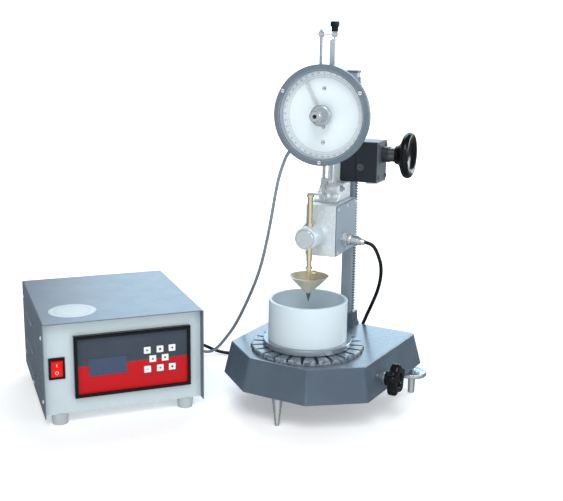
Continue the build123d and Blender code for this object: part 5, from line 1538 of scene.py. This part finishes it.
@dataclass
class ControlBox:
    """Keypad, switch marks, screws, cable glands and mains inlet of the control box."""

    width: float = 251.0
    top: float = 168.0
    film_y: float = 9.0
    keys: Profile = (
        (161.0, 108.2), (181.5, 108.2), (201.0, 108.2), (169.6, 93.3), (189.6, 93.3), (161.0, 76.8),
        (181.5, 76.8), (201.0, 76.8))
    key: Pad = Pad(half=5.5, corner=1.0, rise=0.32, edge=0.15)
    border: Pad = Pad(half=6.2, corner=1.4, rise=0.12, edge=0.05)
    sign_proud: float = 0.27
    sign_thick: float = 0.12
    dots: int = 8
    dot_x: Span = (151.6, 211.9)
    dot_z: float = 67.0
    dot: Profile = ((0.0, 0.0), (0.0, 1.3), (0.2, 1.1), (0.2, 0.0))
    dot_steps: int = 20
    rocker: Point = (21.35, 17.0, 93.2)
    rocker_tilt: float = 8.0
    # Half height of the rocker's face and how far it falls back to its middle
    rocker_half: float = 12.8
    rocker_fall: float = 2.0
    # Place of a mark from the rocker's axle, toward the back and up
    mark_y: float = -5.5
    mark_z: float = 6.4
    mark_sunk: float = 0.05
    # Half width, half height and corner radius of the line, and the radii of the ring
    line: Point = (0.6, 2.6, 0.3)
    line_thick: float = 0.13
    loop: Span = (2.0, 2.8)
    loop_proud: float = 0.08
    loop_steps: int = 40
    screws: Profile = ((16.0, 143.0), (16.0, 41.0), (150.0, 25.0), (264.0, 143.0), (264.0, 41.0))
    screw: Profile = (
        (-0.2, 0.0), (-0.2, 3.4), (0.5, 3.4), (1.2, 2.8), (1.6, 1.8), (1.7, 0.8), (1.1, 0.6), (1.1, 0.0))
    screw_steps: int = 24
    louvre_z: Sequence[float] = (135.0, 89.0, 48.0)
    louvre_y: Span = (110.0, 195.0)
    louvre_proud: float = 3.5
    lip_half: float = 0.7
    lip_z: Span = (-0.5, 0.9)
    lip_edge: float = 0.5
    label_x: float = 55.0
    label_y: float = 63.0
    label: Profile = ((-0.05, 0.0), (-0.05, 37.0), (0.12, 37.0), (0.16, 36.7), (0.16, 0.0))
    label_steps: int = 96
    label_rings: Sequence[float] = (35.4, 27.5)
    label_ring_half: float = 0.35
    label_ring_z: Span = (0.1, 0.2)
    gland_y: Span = (215.0, 258.0)
    gland_z: float = 30.0
    gland_nut: Profile = ((0.0, 0.0), (0.0, 8.0), (5.4, 8.0), (6.0, 7.4), (6.0, 6.4))
    gland_ribs: Ribs = Ribs(count=6, start=7.0, pitch=2.8, taper=0.36,
                            shape=((0.0, 6.4), (0.5, 5.6), (1.5, 5.5), (2.0, 6.15)))
    gland_end: Profile = ((24.5, 4.1), (25.0, 3.6), (25.0, 0.0))
    gland_steps: int = 48
    pins: Profile = ((37.5, 41.5), (50.5, 41.5), (44.0, 47.5))
    pin_y: Span = (259.9, 271.0)
    pin_half: Span = (1.0, 2.0)
    pin_edge: float = 0.5

    def keypad(self) -> None:
        """White key fields with a fine border, their signs, and the row of dots under them."""
        keys = Workpiece(CONTROL)
        borders = Workpiece(CONTROL)
        for x, z in self.keys:
            self.key.add(keys, forward(x, self.film_y, z))
            self.border.add(borders, forward(x, self.film_y, z))
        keys.done("keypad_keys", KEY_WHITE, "stand")
        signs = Workpiece(CONTROL)
        for (x, z), sign in zip(self.keys, KeySign):
            signs.prism(forward(x, self.film_y - self.sign_proud, z), sign.value, self.sign_thick)
        signs.done("key_signs", PRINT_AND_SHADE, "stand")
        first, last = self.dot_x
        for dot in range(self.dots):
            x = first + (last - first) * dot / (self.dots - 1)
            borders.turned(forward(x, self.film_y, self.dot_z), self.dot, self.dot_steps)
        borders.done("keypad_borders", PRINT_AND_SHADE, "stand")

    def rocker_seat(self, half: int) -> Matrix:
        """The middle of one half of the rocker's face.

        Args:
            half: 1 for the upper half and -1 for the lower.

        Returns:
            A seat whose own Z points out of the face.
        """
        tilt = Matrix.Rotation(radians(self.rocker_tilt), 3, "X")
        spot = Vector(self.rocker) + tilt @ Vector((0.0, self.mark_y, self.mark_z * half))
        across = Vector((1.0, 0.0, 0.0))
        out = tilt @ Vector((0.0, -self.rocker_half, -self.rocker_fall * half)).normalized()
        return Matrix.Translation(spot) @ Matrix((across, out.cross(across), out)).transposed().to_4x4()

    def switch_marks(self) -> None:
        """The line and ring on the two halves of the rocker."""
        piece = Workpiece(CONTROL)
        seat = self.rocker_seat(1) @ upright(0.0, 0.0, -self.mark_sunk)
        piece.prism(seat, rounded(*self.line), self.line_thick)
        loop = band((-self.mark_sunk, self.loop_proud), self.loop)
        piece.turned(self.rocker_seat(-1), loop, self.loop_steps)
        piece.done("rocker_marks", KEY_WHITE, "switch")

    def side_screws(self) -> None:
        """Pan-head screws along both sides of the cover."""
        piece = Workpiece(CONTROL)
        for x, turn in ((0.0, pi), (self.width, 0.0)):
            for y, z in self.screws:
                seat = sideways(x, y, z) @ Matrix.Rotation(turn, 4, "X")
                piece.turned(seat, self.screw, self.screw_steps)
        piece.done("cover_screws", BOX_SCREW, "stand")

    def louvre_lips(self) -> None:
        """The rolled lower edges of the louvres on both sides, in a lighter copy of the cover paint as a
        painted highlight.
        """
        piece = Workpiece(CONTROL)
        start, end = self.louvre_y
        below, above = self.lip_z
        for x in (-self.louvre_proud, self.width + self.louvre_proud):
            for z in self.louvre_z:
                low = (x - self.lip_half, start, z + below)
                high = (x + self.lip_half, end, z + above)
                piece.block(low, high, self.lip_edge)
        piece.done("louvre_lips", LOUVRE_HIGHLIGHT, "stand")

    def blank_label(self) -> None:
        """A bare round label with two rings on the front left of the top."""
        seat = upright(self.label_x, self.label_y, self.top)
        piece = Workpiece(CONTROL)
        piece.turned(seat, self.label, self.label_steps)
        piece.done("blank_label", LABEL, "stand")
        ring = Workpiece(CONTROL)
        for radius in self.label_rings:
            radii = (radius - self.label_ring_half, radius + self.label_ring_half)
            ring.turned(seat, band(self.label_ring_z, radii), self.label_steps)
        ring.done("label_rings", LABEL_RING, "stand")

    def glands(self) -> None:
        """Nuts and ribbed sleeves where the cables enter the right side."""
        piece = Workpiece(CONTROL)
        profile = [*self.gland_nut, *self.gland_ribs.profile(), *self.gland_end]
        for y in self.gland_y:
            piece.turned(sideways(self.width, y, self.gland_z), profile, self.gland_steps)
        piece.done("box_glands", MATTE, "stand", "cable_glands")

    def inlet_pins(self) -> None:
        """Three pins in the recess of the mains inlet."""
        piece = Workpiece(CONTROL)
        start, end = self.pin_y
        half_x, half_z = self.pin_half
        for x, z in self.pins:
            piece.block((x - half_x, start, z - half_z), (x + half_x, end, z + half_z), self.pin_edge)
        piece.done("inlet_pins", BRASS, "stand")

    def build(self) -> None:
        """Make every piece of the control box."""
        self.keypad()
        self.switch_marks()
        self.side_screws()
        self.louvre_lips()
        self.blank_label()
        self.glands()
        self.inlet_pins()


@dataclass(frozen=True)
class Lamp:
    """A soft square area light, in metres and watts."""

    name: str
    spot: Point
    aim: Point
    size: float
    power: float
    tint: Colour

    def build(self) -> None:
        """Hang the light and point it."""
        data = bpy.data.lights.new(self.name, "AREA")
        data.size = self.size
        data.energy = self.power
        data.color = self.tint
        made = bpy.data.objects.new(self.name, data)
        made.location = self.spot
        made.rotation_euler = (Vector(self.aim) - Vector(self.spot)).to_track_quat("-Z", "Y").to_euler()
        made.visible_camera = False
        bpy.context.scene.collection.objects.link(made)


@dataclass
class Studio:
    """Floor, lights and camera."""

    eye: Point = (0.63695, -1.26033, 0.57045)
    yaw: float = 21.55
    pitch: float = 12.67
    roll: float = 0.89
    lens: float = 56.58
    sensor: float = 36.0
    far: float = 50.0
    floor_r: float = 30.0
    floor_steps: int = 96
    floor_colour: Colour = (0.93, 0.93, 0.93)
    floor_rough: float = 0.9
    floor_specular: float = 0.1
    # Distances from the part between which the floor's own light rises, and its levels at both
    glow_reach: Span = (0.5, 2.2)
    floor_glow: Span = (0.29, 1.1)
    lamps: Sequence[Lamp] = (
        Lamp("key", (0.7, -1.6, 2.3), (0.0, 0.0, 0.25), 1.2, 33.0, (0.95, 0.98, 1.0)),
        Lamp("side", (2.3, -0.6, 1.2), (0.1, 0.0, 0.3), 1.0, 10.0, (0.96, 0.98, 1.0)),
        Lamp("back", (-0.7, 1.5, 2.4), (0.1, 0.0, 0.2), 1.6, 28.0, (0.9, 0.96, 1.0)),
        Lamp("rim", (1.1, 1.5, 0.6), (0.28, 0.1, 0.35), 0.6, 7.0, (0.9, 0.96, 1.0)))
    # Levels of the surround away from the bright side and on it, and the cosines between which they change
    surround: Span = (0.2, 0.85)
    bright_span: Span = (0.1, 0.95)
    bright_turn: float = 2.0
    white: Colour = (1.0, 1.0, 1.0)
    window: float = 2.1
    window_tint: Colour = (0.6, 0.82, 1.0)
    window_span: Span = (0.875, 0.915)
    window_turn: float = 12.0
    window_rise: float = 24.0
    clear: float = 2.0

    def camera(self) -> None:
        """A camera at the photograph's viewing angle."""
        yaw, pitch, roll = radians(self.yaw), radians(self.pitch), radians(self.roll)
        look = Vector((-sin(yaw) * cos(pitch), cos(yaw) * cos(pitch), -sin(pitch)))
        level = Vector((cos(yaw), sin(yaw), 0.0))
        rise = level.cross(look)
        across = level * cos(roll) + rise * sin(roll)
        rise = rise * cos(roll) - level * sin(roll)
        data = bpy.data.cameras.new("camera")
        data.lens = self.lens
        data.sensor_width = self.sensor
        data.clip_end = self.far
        made = bpy.data.objects.new("camera", data)
        columns = Matrix((across, rise, -look)).transposed().to_4x4()
        made.matrix_world = Matrix.Translation(self.eye) @ columns
        bpy.context.scene.collection.objects.link(made)
        bpy.context.scene.camera = made

    def floor(self) -> None:
        """A wide pale floor that grows brighter away from the part."""
        mesh = bmesh.new()
        bmesh.ops.create_circle(mesh, cap_ends=True, segments=self.floor_steps, radius=self.floor_r)
        data = bpy.data.meshes.new("studio_floor")
        mesh.to_mesh(data)
        mesh.free()
        paint = bpy.data.materials.new("Studio floor")
        paint.use_nodes = True
        shader = paint.node_tree.nodes["Principled BSDF"]
        shader.inputs["Base Color"].default_value = (*self.floor_colour, 1.0)
        shader.inputs["Roughness"].default_value = self.floor_rough
        shader.inputs["Specular IOR Level"].default_value = self.floor_specular
        shader.inputs["Emission Strength"].default_value = 1.0
        wire = Wiring(paint.node_tree)
        reach = wire.vector("LENGTH", wire.spot()).outputs["Value"]
        level = wire.ramp(reach, self.glow_reach, self.floor_glow, Slope.STRAIGHT)
        wire.feed(level, shader.inputs["Emission Color"])
        data.materials.append(paint)
        made = bpy.data.objects.new("studio_floor", data)
        made.visible_glossy = False
        bpy.context.scene.collection.objects.link(made)

    def backdrop(self) -> None:
        """A white surround, bright on the camera's side, with a blue window far behind the object."""
        world = bpy.data.worlds.new("studio_world")
        world.use_nodes = True
        wire = Wiring(world.node_tree)
        sky = world.node_tree.nodes["Background"]
        spot = wire.node("ShaderNodeTexCoord").outputs["Generated"]
        yaw = radians(self.yaw + self.bright_turn)
        toward = wire.vector("DOT_PRODUCT", spot, (sin(yaw), -cos(yaw), 0.0)).outputs["Value"]
        front = wire.ramp(toward, self.bright_span, self.surround)
        turn, rise = radians(self.yaw - self.window_turn), radians(self.window_rise)
        behind = (-sin(turn) * cos(rise), cos(turn) * cos(rise), sin(rise))
        glow = wire.ramp(wire.vector("DOT_PRODUCT", spot, behind).outputs["Value"], self.window_span)
        wire.feed(wire.mix(glow, self.white, self.window_tint), sky.inputs["Color"])
        lit = wire.number("MULTIPLY_ADD", glow, self.window, front)
        seen = wire.node("ShaderNodeLightPath").outputs["Is Camera Ray"]
        clear = wire.number("MULTIPLY", seen, self.clear)
        wire.feed(wire.number("MAXIMUM", clear, lit), sky.inputs["Strength"])
        bpy.context.scene.world = world

    def build(self) -> None:
        """Set up the studio."""
        self.camera()
        self.floor()
        for lamp in self.lamps:
            lamp.build()
        self.backdrop()
        bpy.context.scene.view_settings.view_transform = "Standard"


CABLES = (
    Cable("dial_cable", CABLE_GREY, 5.4, (
        (-32.609, 5.0, 423.417), (-41.960, 5.0, 414.386), (-50.0, 8.0, 397.0), (-60.0, 15.0, 374.0),
        (-70.0, 25.0, 343.0), (-80.0, 35.0, 304.0), (-93.5, 46.0, 254.0), (-110.0, 58.0, 204.0),
        (-135.0, 71.0, 151.0), (-166.0, 84.0, 94.0), (-189.0, 90.0, 63.0), (-207.5, 96.5, 41.0),
        (-229.0, 106.0, 25.5), (-247.4, 108.1, 25.0), (-263.437, 102.530, 30.0), (-275.789, 90.850, 30.0),
    ), still=45.0, lifted=400.0),
    Cable("release_cable", CABLE_BLACK, 6.0, (
        (74.317, 58.0, 271.514), (84.243, 58.0, 270.295), (91.5, 59.5, 263.0), (96.5, 63.0, 250.0),
        (99.3, 71.0, 234.0), (95.0, 90.0, 209.0), (85.0, 109.0, 178.0), (66.0, 135.0, 140.0),
        (44.0, 170.0, 99.0), (26.0, 196.0, 58.0), (6.0, 214.0, 24.0), (-24.0, 226.0, 7.0),
        (-62.0, 231.0, 3.2), (-112.0, 226.0, 3.2), (-160.0, 208.0, 3.2), (-198.0, 186.0, 3.2),
        (-226.0, 172.0, 3.5), (-247.0, 168.0, 7.0), (-266.0, 160.0, 17.0), (-285.716, 140.643, 30.0),
        (-305.334, 122.092, 30.0),
    ), still=35.0, lifted=250.0),
)


def dress(node: bpy.types.Object, finish: Finish) -> None:
    """Give one solid of the frame its finish.

    Args:
        node: the solid.
        finish: what it is finished in.
    """
    node.data.materials.clear()
    node.data.materials.append(finish.material())


def main() -> None:
    """Build the scene in order: studio, effects, cables, dress of the solids, then each sub-assembly."""
    logging.basicConfig(level=logging.INFO, format="%(name)s %(message)s")
    Studio().build()
    for effect in EFFECTS:
        effect.build()
    for cable in CABLES:
        cable.build()
    for name, finish in NODE_FINISH.items():
        dress(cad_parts[name], finish)
        LOG.info("%s: %s", name, finish.name)
    for part in (Stand(), Dial(), SlidingHead(), MeasuringRods(), ControlBox()):
        part.build()


if __name__ == "__main__":
    main()
